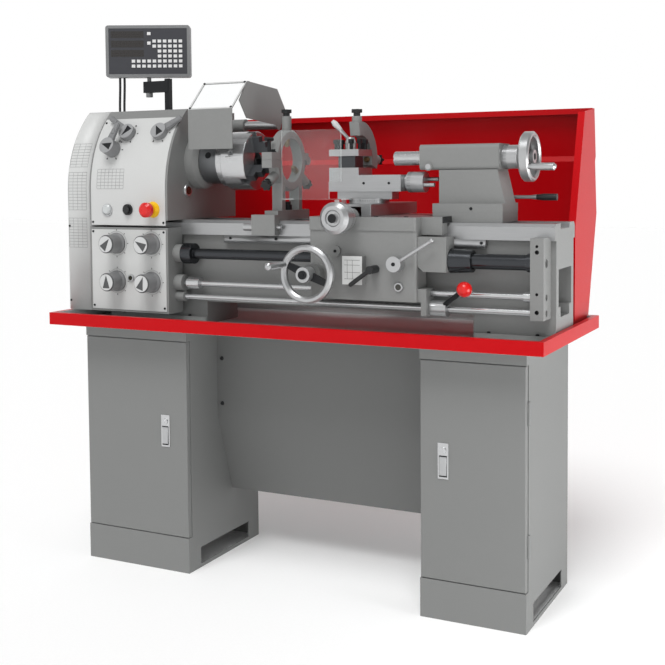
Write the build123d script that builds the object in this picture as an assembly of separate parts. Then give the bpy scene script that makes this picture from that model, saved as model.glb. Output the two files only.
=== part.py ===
from build123d import *
import os
from math import asin, cos, hypot, pi, radians, sin

# Engine lathe with a digital readout, on a stand of two cabinets.
# Millimetres. X runs along the bed towards the tailstock, Y towards the back, Z up.
# Every place in Y is counted from the spindle axis. The stand's heights are counted from the floor, and
# those of the machine on it from the tray's floor. The finished pieces are moved by axis_y, and the machine
# is lifted onto the tray, so that the origin is on the floor under the middle of the whole.

axis_y = -32            # spindle axis from the middle of the machine's depth
axis_z = 444            # spindle axis above the tray's floor

# Fits shared by all pieces
running_fit = 0.05      # radial play of a shaft in its bearing
slip = 0.5              # gap between faces that pass each other
overrun = 2             # how far a cut runs past the face it opens

# Stand
stand_height = 670
tray_length = 1400
tray_depth = 524
tray_front = -240
tray_lip = 33
tray_sheet = 3
tray_fold = 14
cabinet_inset = 62.5
cabinet_set_back = 80
cabinet_depth = 370
left_cabinet_width = 336
right_cabinet_width = 266
cabinet_sheet = 3
cabinet_frame = 22
plinth_height = 96
head_rail = 37
door_thickness = 16
door_sheet = 2
door_gap = 1.5
door_edge_round = 3
fork_slot_floor = 10
fork_slot_height = 46
fork_slot_margin = 58
hinge_barrel_r = 4.5
hinge_pin_r = 2.5
hinge_length = 56
hinge_height_shares = (0.2, 0.79)
panel_sheet = 2.5
panel_face_y = -7
panel_crease_z = 404
panel_bottom_y = 64
panel_bottom_z = 180
panel_flange = 26

# Splash guard, as places of its folds behind the spindle axis and above the tray's floor
guard_sheet = 2
guard_left = -640
guard_right = 672
guard_foot_y = 283
guard_bulge_y = 369
guard_bulge_z = 296
guard_lap_y = 350
guard_lap_z = 435
guard_lap_step = 7
guard_lap_rise = 14
guard_top_y = 340
guard_top_z = 575
guard_top_depth = 28
guard_top_drop = 15
wing_front_y = 138
wing_bend_y = 143
wing_bend_z = 266
wing_top_y = 237
wing_top_z = 562
wing_flange = 18

# Bed
way_top = 285
bed_left = -610
bed_right = 684
bed_half_width = 90
rail_width = 50
rail_depth = 40
way_chamfer = 8
bed_wall = 20
bed_wall_inset = 12
bed_bottom = 62
bed_flange_height = 25
bed_flange_width = 38
bed_rib = 18
bed_rib_top = 222
bed_rib_count = 6
bed_end_wall = 22
bed_end_wall_bottom = 177
bed_end_wall_top = 272
foot_left_end = -285
foot_right_start = 480
foot_half_width = 88
foot_flange = 20
foot_round = 10

# Rack under the front way
rack_left = -220
rack_right = 521
rack_width = 14
rack_height = 16
rack_module = 2
rack_tooth_share = 2.25    # height of a tooth, in modules
rack_flank_share = 0.29   # half the change of a tooth's width over its height, as a share of the pitch
tooth_gap_share = 0.3     # root land, as a share of the pitch

# Headstock
cover_left = -698
cover_width = 79
seam = 2
casting_right = -356
headstock_front = 160
headstock_back = 190
headstock_top = 589
split_z = 265
front_bend_z = 364
front_arc_r = 301
front_panel_thickness = 2
front_panel_margin = 6
panel_top_drop = 23
cover_round = 10
cover_bore_r = 52
bearing_cap_r = 76
bearing_cap_length = 38
bearing_cap_step = 12
rod_boss_length = 26

# Spindle, chuck and jaws
spindle_r = 40
spindle_bore_r = 19
spindle_left = -690
nose_r = 62
chuck_left = -258
chuck_r = 80
chuck_front = -165
chuck_back_r = 72
chuck_back_length = 20
chuck_bore_r = 21
chuck_key = 10
chuck_key_depth = 14
chuck_key_x = -205
chuck_key_rim_r = 9
chuck_groove = 1.5
jaw_width = 20
jaw_slot_depth = 20
jaw_inner_r = 25
jaw_step = 14
jaw_height = 53
jaw_angle = 105
jaw_count = 3
jaw_steps = 3

# Chuck guard
hood_left = -321
hood_right = -182
hood_sheet = 2.5
hood_front_y = -105
hood_bottom_z = 476
hood_bend_z = 583
hood_ridge_y = -25
hood_ridge_z = 660
hood_lip = 14
hood_bar_y = 147
hood_bar_z = 547
hood_bar_r = 13.5
hood_bar_left = -346
hood_boss_r = 20
hood_boss_right = -290
hood_side_back_y = 141
hood_side_back_z = 649
hood_side_rear_y = 188
hood_side_rear_z = 592
hood_side_low_y = -29
hood_side_low_z = 560
hood_side_inner_y = -66
hood_side_inner_z = 606
hood_rim = 12

# Controls on the front of the headstock
switch_z = 314
lamp_x = -555
lamp_r = 14
lamp_height = 8
lamp_dome = 4
start_x = -484
start_ring_r = 15
start_ring_height = 6
start_r = 10
start_height = 12
start_length = 7
stop_x = -402
stop_base_r = 22
stop_base_height = 12
stop_stem_r = 8.5
stop_stem_seat = 6
stop_head_gap = 13
stop_r = 20
stop_head_height = 18
stop_head_round = 7
knob_left_x = -525
knob_right_x = -409
knob_high_z = 221
knob_low_z = 117
knob_r = 25
knob_skirt_r = 29
knob_skirt = 10
knob_length = 50
knob_round = 3
knob_pointers = (-40, 60, 0, -20)
arrow_depth = 1
arrow_share = 0.8
arrow_spread = 144
lever_hub_r = 23
lever_hub_height = 16
lever_arm_start = 11
lever_arm_end = 7
lever_arm_thickness = 9
lever_grip_r = 8
lever_grip_length = 34
speed_lever_z = 522
speed_lever_left_x = -511
speed_lever_right_x = -404
speed_lever_left_reach = 89
speed_lever_left_angle = 146
speed_lever_right_reach = 73
speed_lever_right_angle = 37
reverse_lever_z = 478
reverse_lever_x = -547
reverse_lever_reach = 70
reverse_lever_angle = 76
reverse_hub_height = 35

# Readout
readout_x = -567
readout_y = 62
readout_turn = 28
readout_width = 245
readout_height = 150
readout_depth = 38
readout_base_z = 693
readout_round = 8
readout_rim = 9
readout_recess = 2
arm_z = 649
arm_thickness = 32
arm_width = 22
arm_end = 18
post_x = -500
post_side = 16
post_top = 687
post_foot_side = 44
post_foot = 6
stem_r = 6
stem_nut_r = 10
stem_nut_height = 13
cable_r = 3.5
cable_offset = -74
cable_spacing = 13
cable_back = 12
cable_sway = 10
cable_straight = 24
cable_bend_share = 0.45

# Rods in front of the bed
rod_y = -115
lead_z = 195
lead_r = 11
feed_z = 115
feed_r = 8
start_rod_z = 78
start_rod_r = 8
rod_left = -350
rod_right = 660
lead_boss_r = 24
feed_boss_r = 22
start_boss_r = 14
lead_collar_r = 28
lead_collar_length = 32
left_cover_r = 14
left_cover_reach = 35
cover_bore_play = 1
right_cover_r = 18.5
right_cover_left = 372
right_collar_r = 22
right_collar_length = 12
feed_coupling_r = 17
feed_coupling_length = 38
feed_coupling_gap = 12
feed_collar_r = 12
feed_collar_length = 20
bracket_left = 639
bracket_right = 671
bracket_front = -140
bracket_bottom = 63
bracket_top = 254
bracket_hole_r = 5
bracket_small_hole_r = 3.5
bracket_hole_depth = 8
bracket_hole_shares = (0.9, 0.83, 0.32, 0.1)

# Bed stop
stop_block_left = -121
stop_block_right = -51
stop_block_front = -114
stop_block_bottom = 247
stop_block_top = 301
stop_screw_r = 5
stop_screw_z = 268
stop_anvil = 13
stop_knob_r = 10
stop_knob_length = 28

# Saddle and apron
saddle_left = 75
saddle_right = 364
saddle_front = -160
saddle_back = 115
saddle_lip = 3
saddle_top = 300
saddle_seam_z = 267
saddle_wing_right = 418
saddle_wing_front = -126
saddle_wing_gap = 4
saddle_waist_left = 95
saddle_waist_right = 345
saddle_skirt_bottom = 257
saddle_round = 6
apron_back = -95
apron_bottom = 95
apron_round = 8
housing_right = 437
housing_front = -150
housing_top = 253
housing_bottom = 169
housing_slope = 14
cup_r = 30
cup_end_r = 27
cup_length = 56
label_left = 178
label_right = 232
label_bottom = 135
label_top = 205
label_depth = 24
cap_x = 150
cap_z = 215
cap_r = 14
cap_height = 6
wheel_x = 94
wheel_z = 159
wheel_r = 73
wheel_rim = 17
wheel_depth = 20
wheel_edge_share = 0.3
wheel_y = -210
wheel_hub_r = 19
wheel_hub_length = 34
wheel_boss_r = 24
wheel_boss_length = 26
wheel_shaft_r = 10
wheel_shaft_seat = 20
wheel_spokes = 2
wheel_spoke_foot = 22
wheel_spoke_end = 14
wheel_spoke_thickness = 9
wheel_handle_turn = 158
wheel_handle_r = 9
wheel_handle_neck_r = 6.5
wheel_handle_length = 95
wheel_handle_neck = 16
start_plate_left = 372
start_plate_thickness = 14
start_plate_front = -150
start_plate_back = -100
start_plate_top = 127
start_plate_bottom = 62
start_hub_r = 20
start_hub_length = 42
start_arm_r = 6
start_ball_r = 18.5
start_ball_x = 488
start_ball_y = -165
start_ball_z = 132
half_nut_x = 258
half_nut_z = 173
half_nut_hub_r = 10
half_nut_front = -200
half_nut_arm_r = 5.5
half_nut_reach_x = -52
half_nut_reach_z = -37
feed_lever_x = 316
feed_lever_z = 188
feed_lever_hub_r = 19
feed_lever_hub_length = 28
feed_lever_rod_r = 4.5
feed_lever_tip_r = 6
feed_lever_reach_x = 95
feed_lever_reach_z = 58

# Cross slide, swivel and top slide
cross_x = 182
cross_axis_z = 299
cross_half_width = 50
cross_front = -130
cross_back = 170
cross_top = 330
cross_channel_half = 23
cross_channel_top = 323.5
cross_boss_r = 22
cross_boss_length = 26
cross_sleeve_r = 21
cross_sleeve_length = 17
cross_dial_r = 32
cross_dial_length = 22
cross_wheel_r = 39
cross_wheel_length = 40
cross_wheel_round = 9
cross_wheel_dish = 3
cross_nut_r = 11
cross_nut_length = 5
cross_shaft_r = 8
swivel_x = 176
slide_y = -18
swivel_r = 52
swivel_height = 13
rail_left = 96
rail_right = 250
rail_half_width = 22
slide_left = 82
slide_right = 282
slide_half_width = 42
slide_bottom = 361
slide_top = 403
slide_channel_top = 375
slide_dial_r = 26
slide_dial_start = 6
slide_dial_length = 46
slide_dial_collar_r = 20
slide_axis_z = 384
slide_shaft_r = 6
slide_peg_r = 5
slide_peg_length = 28
slide_peg_place = 14
slide_cap = 8

# Tool post
post_centre_x = 124
tool_post_side = 84
tool_post_core = 48
tool_post_top = 469
tool_slot_bottom = 422
tool_slot_top = 452
tool_bolt_r = 5.5
tool_bolt_height = 26
tool_shank_share = 0.8
tool_bolt_head = 11
tool_bolt_share = 0.4
tool_bolt_spread_share = 0.21
tool_hub_r = 15
tool_hub_top_r = 10
tool_hub_height = 32
tool_arm_r = 4.5
tool_arm_turn = 198
tool_arm_reach = 30
tool_arm_rise = 34
tool_grip_r = 8
tool_grip_length = 34
tool_grip_shares = (0.7, 0.6)    # foot and end of the grip, as shares of its radius
tool_swell_share = 0.7
tool_arm_share = 0.67

# Chip shield
shield_left = -8
shield_right = 160
shield_y = -150
shield_bottom = 341
shield_top = 517
shield_sheet = 3
shield_flange = 62
shield_notch = 34
shield_notch_height = 46
shield_foot_width = 20
shield_foot_depth = 26

# Follow rest
follow_left = 120
follow_thickness = 28
follow_inner_r = 62
follow_outer_r = 98
follow_start = -14
follow_end = 100
follow_column_left = 103
follow_column_right = 131
follow_column_front = 66
follow_column_back = 100
follow_foot_front = 46
follow_foot_height = 14
finger_boss_r = 13
finger_r = 8
finger_pad_r = 5
star_r = 15
star_height = 18
star_neck_r = 9
star_lobes = 6
star_lobe_share = 0.24
fan_steps = 4
follow_boss_top_r = 112
follow_boss_side_r = 122
follow_top_tip_r = 63
follow_side_tip_r = 50

# Steady rest
steady_left = -90
steady_thickness = 30
steady_outer_r = 83
steady_bevel = 6
steady_inner_r = 59
steady_base_left = -95
steady_base_right = -55
steady_base_half = 88
steady_base_top = 311
steady_leg_place = 47
steady_leg_width = 18
steady_split_gap = 0.6
steady_boss_r = 118
steady_finger_tip_r = 36
steady_lower_angles = (210, 330)
steady_lug = 26
steady_lug_height = 20
steady_hinge_y = 96
steady_hinge_r = 12
steady_pin_r = 5
steady_screw_r = 5
steady_tee_r = 5
steady_tee_length = 34
steady_screw_rise = 34
clamp_half_width = 55
clamp_bottom = 227
clamp_top = 244
clamp_length = 30
clamp_bolt_r = 8
clamp_bolt_head_r = 12
clamp_bolt_head = 14

# Tailstock
tail_base_left = 368
tail_base_right = 548
tail_base_half = 62
tail_base_top = 309
tail_foot_top = 331
tail_web_left = 378
tail_web_right = 528
tail_web_flare = 20
tail_web_half = 42
tail_barrel_left = 327
tail_barrel_right = 533
tail_barrel_half = 45
tail_barrel_bottom = 414
tail_barrel_top = 477
tail_barrel_round = 10
quill_r = 18
quill_left = 244
quill_right = 450
quill_socket_r = 12
quill_socket_end_r = 9.5
quill_socket_depth = 80
quill_key = 6
quill_key_depth = 3
quill_lock_r = 10
quill_lock_height = 6
quill_lock_x = 352
quill_lock_drop = 22
tail_shaft_r = 9
tail_dial_r = 29
tail_dial_length = 38
tail_hub_r = 17
tail_wheel_r = 61
tail_wheel_rim = 13
tail_wheel_depth = 26
tail_wheel_spokes = 3
tail_wheel_turn = 90
tail_wheel_x = 596
tail_handle_turn = 207
tail_handle_r = 9
tail_handle_neck_r = 6
tail_handle_neck = 14
tail_handle_length = 78
tail_lever_x = 520
tail_lever_z = 345
tail_lever_hub_r = 12
tail_lever_hub_length = 20
tail_lever_rod_r = 4.5
tail_lever_reach = 62
tail_grip_r = 8.5
tail_grip_length = 68
tail_plate_left = 425
tail_plate_length = 70

# Motor behind the bed, under the overhang of the headstock
motor_left = -592
motor_right = -390
motor_y = 176
motor_z = 139
motor_r = 72
motor_fins = 24
motor_fin = 5
motor_fin_width = 4
motor_fin_length_share = 0.62
motor_shaft_r = 12
motor_foot_width = 130
motor_foot_length = 120
motor_box = 70
motor_box_height = 34

# Places worked out from the sizes above
tray_floor = stand_height + tray_sheet
tray_top = stand_height + tray_lip
tray_rim = tray_lip - tray_sheet
tray_rear = tray_front + tray_depth
cabinet_front = tray_front + cabinet_set_back
cabinet_rear = cabinet_front + cabinet_depth
left_cabinet_left = cabinet_inset - tray_length / 2
left_cabinet_right = left_cabinet_left + left_cabinet_width
right_cabinet_right = tray_length / 2 - cabinet_inset
right_cabinet_left = right_cabinet_right - right_cabinet_width
door_bottom = plinth_height + door_gap
door_top = stand_height - head_rail - door_gap
door_plane = cabinet_front + door_thickness + door_gap
hinge_heights = [door_bottom + share * (door_top - door_bottom) for share in hinge_height_shares]
rail_bottom = way_top - rail_depth
bed_wall_face = bed_half_width - bed_wall_inset
headstock_base = tray_rim + seam
casting_left = cover_left + cover_width + seam
casting_front = headstock_front - front_panel_thickness
front_face = -headstock_front
front_arc_y = front_arc_r - headstock_front
bearing_cap_right = casting_right + bearing_cap_length
rod_boss_right = casting_right + rod_boss_length
saddle_face = saddle_front - saddle_lip
knob_places = [(x, z) for z in (knob_high_z, knob_low_z) for x in (knob_left_x, knob_right_x)]


def block(x0, x1, y0, y1, z0, z1):
    """Block between two corners."""
    return Pos((x0 + x1) / 2, (y0 + y1) / 2, (z0 + z1) / 2) * Box(x1 - x0, y1 - y0, z1 - z0)


def bar_x(x0, x1, y, z, r):
    """Round bar along X."""
    return Pos((x0 + x1) / 2, y, z) * Rot(0, 90, 0) * Cylinder(r, x1 - x0)


def bar_y(x, y0, y1, z, r):
    """Round bar along Y."""
    return Pos(x, (y0 + y1) / 2, z) * Rot(90, 0, 0) * Cylinder(r, y1 - y0)


def bar_z(x, y, z0, z1, r):
    """Round bar along Z."""
    return Pos(x, y, (z0 + z1) / 2) * Cylinder(r, z1 - z0)


def prism_x(points, x0, x1):
    """Outline of (y, z) points, drawn out along X."""
    return Pos(x0, 0, 0) * extrude(Plane.YZ * Polygon(*points, align=None), x1 - x0, dir=(1, 0, 0))


def prism_y(points, y0, y1):
    """Outline of (x, z) points, drawn out along Y."""
    return Pos(0, y0, 0) * extrude(Plane.XZ * Polygon(*points, align=None), y1 - y0, dir=(0, 1, 0))


def prism_z(points, z0, z1):
    """Outline of (x, y) points, drawn out along Z."""
    return Pos(0, 0, z0) * extrude(Polygon(*points, align=None), z1 - z0, dir=(0, 0, 1))


def turned(points):
    """Outline of (radius, height) points, turned about the Z axis."""
    return revolve(Plane.XZ * Polygon(*points, align=None), Axis.Z)


def along_x(part, x, y, z):
    """A turned piece laid along +X from a point."""
    return Pos(x, y, z) * Rot(0, 90, 0) * part


def towards_front(part, x, y, z):
    """A turned piece laid towards the front, along -Y, from a point."""
    return Pos(x, y, z) * Rot(90, 0, 0) * part


def rod(start, end, r):
    """Round rod from one point to another."""
    line = Vector(*end) - Vector(*start)
    return Plane(origin=start, z_dir=line) * Pos(0, 0, line.length / 2) * Cylinder(r, line.length)


def folded(points, sheet):
    """Outline of a sheet of even thickness that follows a line of folds, to its left side."""
    lines = [(b[0] - a[0], b[1] - a[1]) for a, b in zip(points, points[1:])]
    normals = [(-dy / hypot(dx, dy), dx / hypot(dx, dy)) for dx, dy in lines]
    inner = []
    for place, (y, z) in enumerate(points):
        before = normals[max(place - 1, 0)]
        after = normals[min(place, len(normals) - 1)]
        meet = 1 + before[0] * after[0] + before[1] * after[1]
        inner.append((y + sheet * (before[0] + after[0]) / meet, z + sheet * (before[1] + after[1]) / meet))
    return list(points) + inner[::-1]


def star_knob(r, height, neck_r):
    """Star knob that stands on the XY plane, with a round neck and lobes round its head."""
    neck = height / 2
    head = Pos(0, 0, (neck + height) / 2) * Cylinder(r * (1 - star_lobe_share), height - neck)
    for lobe in range(star_lobes):
        head += Rot(0, 0, lobe * 360 / star_lobes) * Pos(r * (1 - star_lobe_share), 0,
                                                         (neck + height) / 2) * (
            Cylinder(r * star_lobe_share, height - neck)
        )
    return head + Pos(0, 0, neck / 2) * Cylinder(neck_r, neck)


def arrow_pocket(r):
    """Sunk pointer of a selector, pointing along +Y, from its floor upwards."""
    size = r * arrow_share
    side = size * sin(radians(arrow_spread))
    tail = size * cos(radians(arrow_spread))
    return prism_z([(0, size), (side, tail), (-side, tail)], 0, arrow_depth + overrun)


# Stand

def hinge_barrels(hinge_x, upper, r):
    """The upper or lower knuckles of a door's two hinges, as round bars of one radius."""
    knuckles = []
    for middle in hinge_heights:
        low = middle if upper else middle - hinge_length / 2
        knuckles.append(bar_z(hinge_x, door_plane, low, low + hinge_length / 2, r))
    return knuckles


def cabinet(left, right, hinge_x):
    """Folded sheet cabinet with a door recess, an open plinth with fork slots, and hinge knuckles."""
    shell = block(left, right, cabinet_front, cabinet_rear, 0, stand_height)
    shell -= block(left - overrun, right + overrun, cabinet_front - overrun, door_plane,
                   plinth_height, stand_height - head_rail)
    shell -= block(left + cabinet_sheet, right - cabinet_sheet, door_plane + cabinet_sheet,
                   cabinet_rear - cabinet_sheet, plinth_height, stand_height - cabinet_sheet)
    shell -= block(left + cabinet_frame, right - cabinet_frame, cabinet_front,
                   door_plane + cabinet_sheet + overrun,
                   plinth_height + cabinet_frame, stand_height - head_rail - cabinet_frame)
    shell -= block(left + cabinet_sheet, right - cabinet_sheet, cabinet_front + cabinet_sheet,
                   cabinet_rear - cabinet_sheet, -overrun, plinth_height - cabinet_sheet)
    shell -= block(left - overrun, right + overrun, cabinet_front + fork_slot_margin,
                   cabinet_rear - fork_slot_margin, fork_slot_floor, fork_slot_floor + fork_slot_height)
    for knuckle in hinge_barrels(hinge_x, True, hinge_barrel_r + slip):
        shell -= knuckle
    for knuckle in hinge_barrels(hinge_x, False, hinge_barrel_r):
        shell += knuckle
    for middle in hinge_heights:
        shell += bar_z(hinge_x, door_plane, middle - overrun, middle + hinge_length / 2, hinge_pin_r)
    return shell


def door(left, right, hinge_x):
    """Pressed door pan with rounded front edges and the upper knuckles of its hinges."""
    pan = block(left + door_gap, right - door_gap, cabinet_front, cabinet_front + door_thickness,
                door_bottom, door_top)
    pan = fillet(pan.faces().sort_by(Axis.Y)[0].edges(), door_edge_round)
    pan -= block(left + door_gap + door_sheet, right - door_gap - door_sheet, cabinet_front + door_sheet,
                 cabinet_front + door_thickness + overrun, door_bottom + door_sheet, door_top - door_sheet)
    for knuckle in hinge_barrels(hinge_x, False, hinge_barrel_r + slip):
        pan -= knuckle
    for knuckle in hinge_barrels(hinge_x, True, hinge_barrel_r):
        pan += knuckle
    for middle in hinge_heights:
        pan -= bar_z(hinge_x, door_plane, middle - overrun, middle + hinge_length,
                     hinge_pin_r + running_fit)
    return pan


def stand_panel():
    """Centre panel between the cabinets: upright, leaning back below its crease, flanged at its ends."""
    left, right = left_cabinet_right, right_cabinet_left
    fold = [(panel_bottom_y, panel_bottom_z), (panel_face_y, panel_crease_z), (panel_face_y, stand_height)]
    sheet = prism_x(folded(fold, -panel_sheet), left, right)
    side = [(y, z) for y, z in fold] + [(y + panel_flange, z) for y, z in fold[::-1]]
    sheet += prism_x(side, left, left + panel_sheet)
    sheet += prism_x(side, right - panel_sheet, right)
    return sheet


def chip_tray():
    """Pressed tray with an upright rim folded inwards at its top."""
    half = tray_length / 2
    tray = block(-half, half, tray_front, tray_rear, stand_height, tray_top)
    tray -= block(tray_sheet - half, half - tray_sheet, tray_front + tray_sheet, tray_rear - tray_sheet,
                  tray_floor, tray_top - tray_sheet)
    tray -= block(tray_fold - half, half - tray_fold, tray_front + tray_fold, tray_rear - tray_fold,
                  tray_floor, tray_top + overrun)
    return tray


def splash_guard():
    """Bent back sheet with a lapped joint and a folded top edge, and a wing at its right end."""
    lap_top_z = guard_lap_z + guard_lap_rise
    back = [
        (guard_foot_y - tray_fold / 2, tray_rim),
        (guard_foot_y, tray_rim),
        (guard_bulge_y, guard_bulge_z),
        (guard_lap_y, guard_lap_z),
        (guard_lap_y + guard_lap_step, lap_top_z),
        (guard_top_y, guard_top_z),
        (guard_top_y - guard_top_depth, guard_top_z),
        (guard_top_y - guard_top_depth, guard_top_z - guard_top_drop),
    ]
    guard = prism_x(folded(back, guard_sheet), guard_left, guard_right)
    inner_foot = tray_rear - tray_fold - slip
    wing = [
        (wing_front_y, slip),
        (wing_bend_y, wing_bend_z),
        (wing_top_y, wing_top_z),
        (guard_top_y, guard_top_z),
        (guard_lap_y + guard_lap_step, lap_top_z),
        (guard_lap_y, guard_lap_z),
        (guard_bulge_y, guard_bulge_z),
        (guard_foot_y, tray_rim),
        (inner_foot, tray_rim),
        (inner_foot, slip),
    ]
    guard += prism_x(wing, guard_right - guard_sheet, guard_right)
    edge = [(wing_top_y, wing_top_z), (wing_bend_y, wing_bend_z), (wing_front_y, slip)]
    guard += prism_x(folded(edge, guard_sheet), guard_right - wing_flange, guard_right)
    return guard


# Bed

def bed():
    """Cast bed: two chamfered rails on walls, cross ribs, an end wall and two flanged feet."""
    rail_inner = bed_half_width - rail_width
    wall_inner = bed_wall_face - bed_wall
    casting = None
    for side in (-1, 1):
        rail = [
            (side * bed_half_width, rail_bottom),
            (side * bed_half_width, way_top - way_chamfer),
            (side * (bed_half_width - way_chamfer), way_top),
            (side * rail_inner, way_top),
            (side * rail_inner, rail_bottom),
            (side * wall_inner, rail_bottom),
            (side * wall_inner, bed_bottom + bed_flange_height),
            (side * (bed_wall_face - bed_flange_width), bed_bottom + bed_flange_height),
            (side * (bed_wall_face - bed_flange_width), bed_bottom),
            (side * bed_wall_face, bed_bottom),
            (side * bed_wall_face, rail_bottom),
        ]
        half = prism_x(rail, bed_left, bed_right)
        casting = half if casting is None else casting + half
    pitch = (bed_right - bed_left) / bed_rib_count
    for rib in range(bed_rib_count):
        start = bed_left + rib * pitch
        casting += block(start, start + bed_rib, -wall_inner, wall_inner, bed_bottom, bed_rib_top)
    casting += block(bed_right - bed_end_wall, bed_right, -wall_inner, wall_inner,
                     bed_end_wall_bottom, bed_end_wall_top)
    for left, right in ((bed_left, foot_left_end), (foot_right_start, bed_right)):
        flange = block(left, right, -foot_half_width, foot_half_width, 0, foot_flange)
        casting += fillet(flange.edges().filter_by(Axis.Z), foot_round)
        casting += block(left, right, -bed_wall_face, bed_wall_face, 0, bed_bottom)
    return casting


def gear_rack():
    """Rack with its teeth downwards, held against the bed wall under the front rail."""
    pitch = pi * rack_module
    depth = rack_tooth_share * rack_module
    root = rail_bottom - rack_height
    teeth = int((rack_right - rack_left) / pitch)
    outline = [(rack_left, rail_bottom)]
    for tooth in range(teeth):
        start = rack_left + tooth * pitch
        tip = pitch * (1 - tooth_gap_share - rack_flank_share)
        outline += [
            (start, root),
            (start + rack_flank_share / 2 * pitch, root - depth),
            (start + rack_flank_share / 2 * pitch + tip, root - depth),
            (start + rack_flank_share * pitch + tip, root),
        ]
    end = rack_left + teeth * pitch
    outline += [(end, root), (end, rail_bottom)]
    return prism_y(outline, -bed_wall_face - rack_width, -bed_wall_face)


def front_outline(inset, base):
    """Side outline of the headstock: upright front that curves back to a flat top."""
    r = front_arc_r - inset
    lean = asin((headstock_top - front_bend_z) / r)
    front = inset - headstock_front
    top_y = front_arc_y - r * cos(lean)
    middle = (front_arc_y - r * cos(lean / 2), front_bend_z + r * sin(lean / 2))
    edges = [
        Line((front, base), (front, front_bend_z)),
        ThreePointArc((front, front_bend_z), middle, (top_y, headstock_top)),
        Line((top_y, headstock_top), (headstock_back, headstock_top)),
        Line((headstock_back, headstock_top), (headstock_back, base)),
        Line((headstock_back, base), (front, base)),
    ]
    return make_face(edges)


def headstock_casting():
    """Headstock box on the ways: spindle bore, bearing cap and the boss of the guard's hinge bar."""
    body = Pos(casting_left, 0, 0) * extrude(
        Plane.YZ * front_outline(front_panel_thickness, way_top), casting_right - casting_left)
    cap = turned([(0, 0), (bearing_cap_r, 0), (bearing_cap_r, bearing_cap_length - bearing_cap_step),
                  (bearing_cap_r - bearing_cap_step, bearing_cap_length), (0, bearing_cap_length)])
    body += along_x(cap, casting_right, 0, axis_z)
    body += bar_x(casting_right - overrun, hood_boss_right, hood_bar_y, hood_bar_z, hood_boss_r)
    body -= bar_x(casting_left - overrun, bearing_cap_right + overrun, 0, axis_z, spindle_r + running_fit)
    body -= bar_x(hood_bar_left - slip, hood_boss_right + overrun, hood_bar_y, hood_bar_z,
                  hood_bar_r + running_fit)
    return body


def feed_gearbox():
    """Gearbox casting in front of the bed, with the bosses that carry the three rods."""
    body = block(casting_left, casting_right, -casting_front, -bed_half_width, headstock_base, split_z)
    for z, boss_r, bore_r in ((lead_z, lead_boss_r, lead_r), (feed_z, feed_boss_r, feed_r),
                              (start_rod_z, start_boss_r, start_rod_r)):
        body += bar_x(casting_right - overrun, rod_boss_right, rod_y, z, boss_r)
        body -= bar_x(rod_left - slip, rod_boss_right + overrun, rod_y, z, bore_r + running_fit)
    return body


def end_cover():
    """Cover over the drive at the left end, with rounded edges and a hole in line with the spindle."""
    body = Pos(cover_left, 0, 0) * extrude(Plane.YZ * front_outline(0, headstock_base), cover_width)
    body = fillet(body.faces().sort_by(Axis.X)[0].edges(), cover_round)
    return body - bar_x(cover_left - overrun, cover_left + cover_width + overrun, 0, axis_z,
                        cover_bore_r)


def upper_front_panel():
    """Faceplate that follows the curved front of the headstock."""
    lean = asin((headstock_top - panel_top_drop - front_bend_z) / front_arc_r)
    inner_r = front_arc_r - front_panel_thickness

    def on_arc(r, angle):
        return (front_arc_y - r * cos(angle), front_bend_z + r * sin(angle))

    low = split_z + front_panel_margin
    edges = [
        Line((-headstock_front, low), on_arc(front_arc_r, 0)),
        ThreePointArc(on_arc(front_arc_r, 0), on_arc(front_arc_r, lean / 2), on_arc(front_arc_r, lean)),
        Line(on_arc(front_arc_r, lean), on_arc(inner_r, lean)),
        ThreePointArc(on_arc(inner_r, lean), on_arc(inner_r, lean / 2), on_arc(inner_r, 0)),
        Line(on_arc(inner_r, 0), (-casting_front, low)),
        Line((-casting_front, low), (-headstock_front, low)),
    ]
    left = casting_left + front_panel_margin
    return Pos(left, 0, 0) * extrude(Plane.YZ * make_face(edges), casting_right - front_panel_margin - left)


def lower_front_panel():
    """Flat faceplate of the feed gearbox."""
    return block(casting_left + front_panel_margin, casting_right - front_panel_margin, -headstock_front,
                 -casting_front, headstock_base + front_panel_margin, split_z - front_panel_margin)


# Spindle and chuck

def spindle():
    """Hollow spindle with its flanged nose."""
    bar = bar_x(spindle_left, bearing_cap_right, 0, axis_z, spindle_r)
    bar += bar_x(bearing_cap_right + slip, chuck_left, 0, axis_z, nose_r)
    bar += bar_x(bearing_cap_right - slip, bearing_cap_right + overrun, 0, axis_z, spindle_r)
    return bar - bar_x(spindle_left - overrun, chuck_left + overrun, 0, axis_z, spindle_bore_r)


def jaw_places():
    """Angles of the jaws round the spindle axis, from the back upwards."""
    return [jaw_angle + jaw * 360 / jaw_count for jaw in range(jaw_count)]


def turned_to(part, angle):
    """A piece drawn along +Y from the spindle axis, turned to an angle about that axis."""
    return Pos(0, 0, axis_z) * Rot(angle, 0, 0) * part


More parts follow.
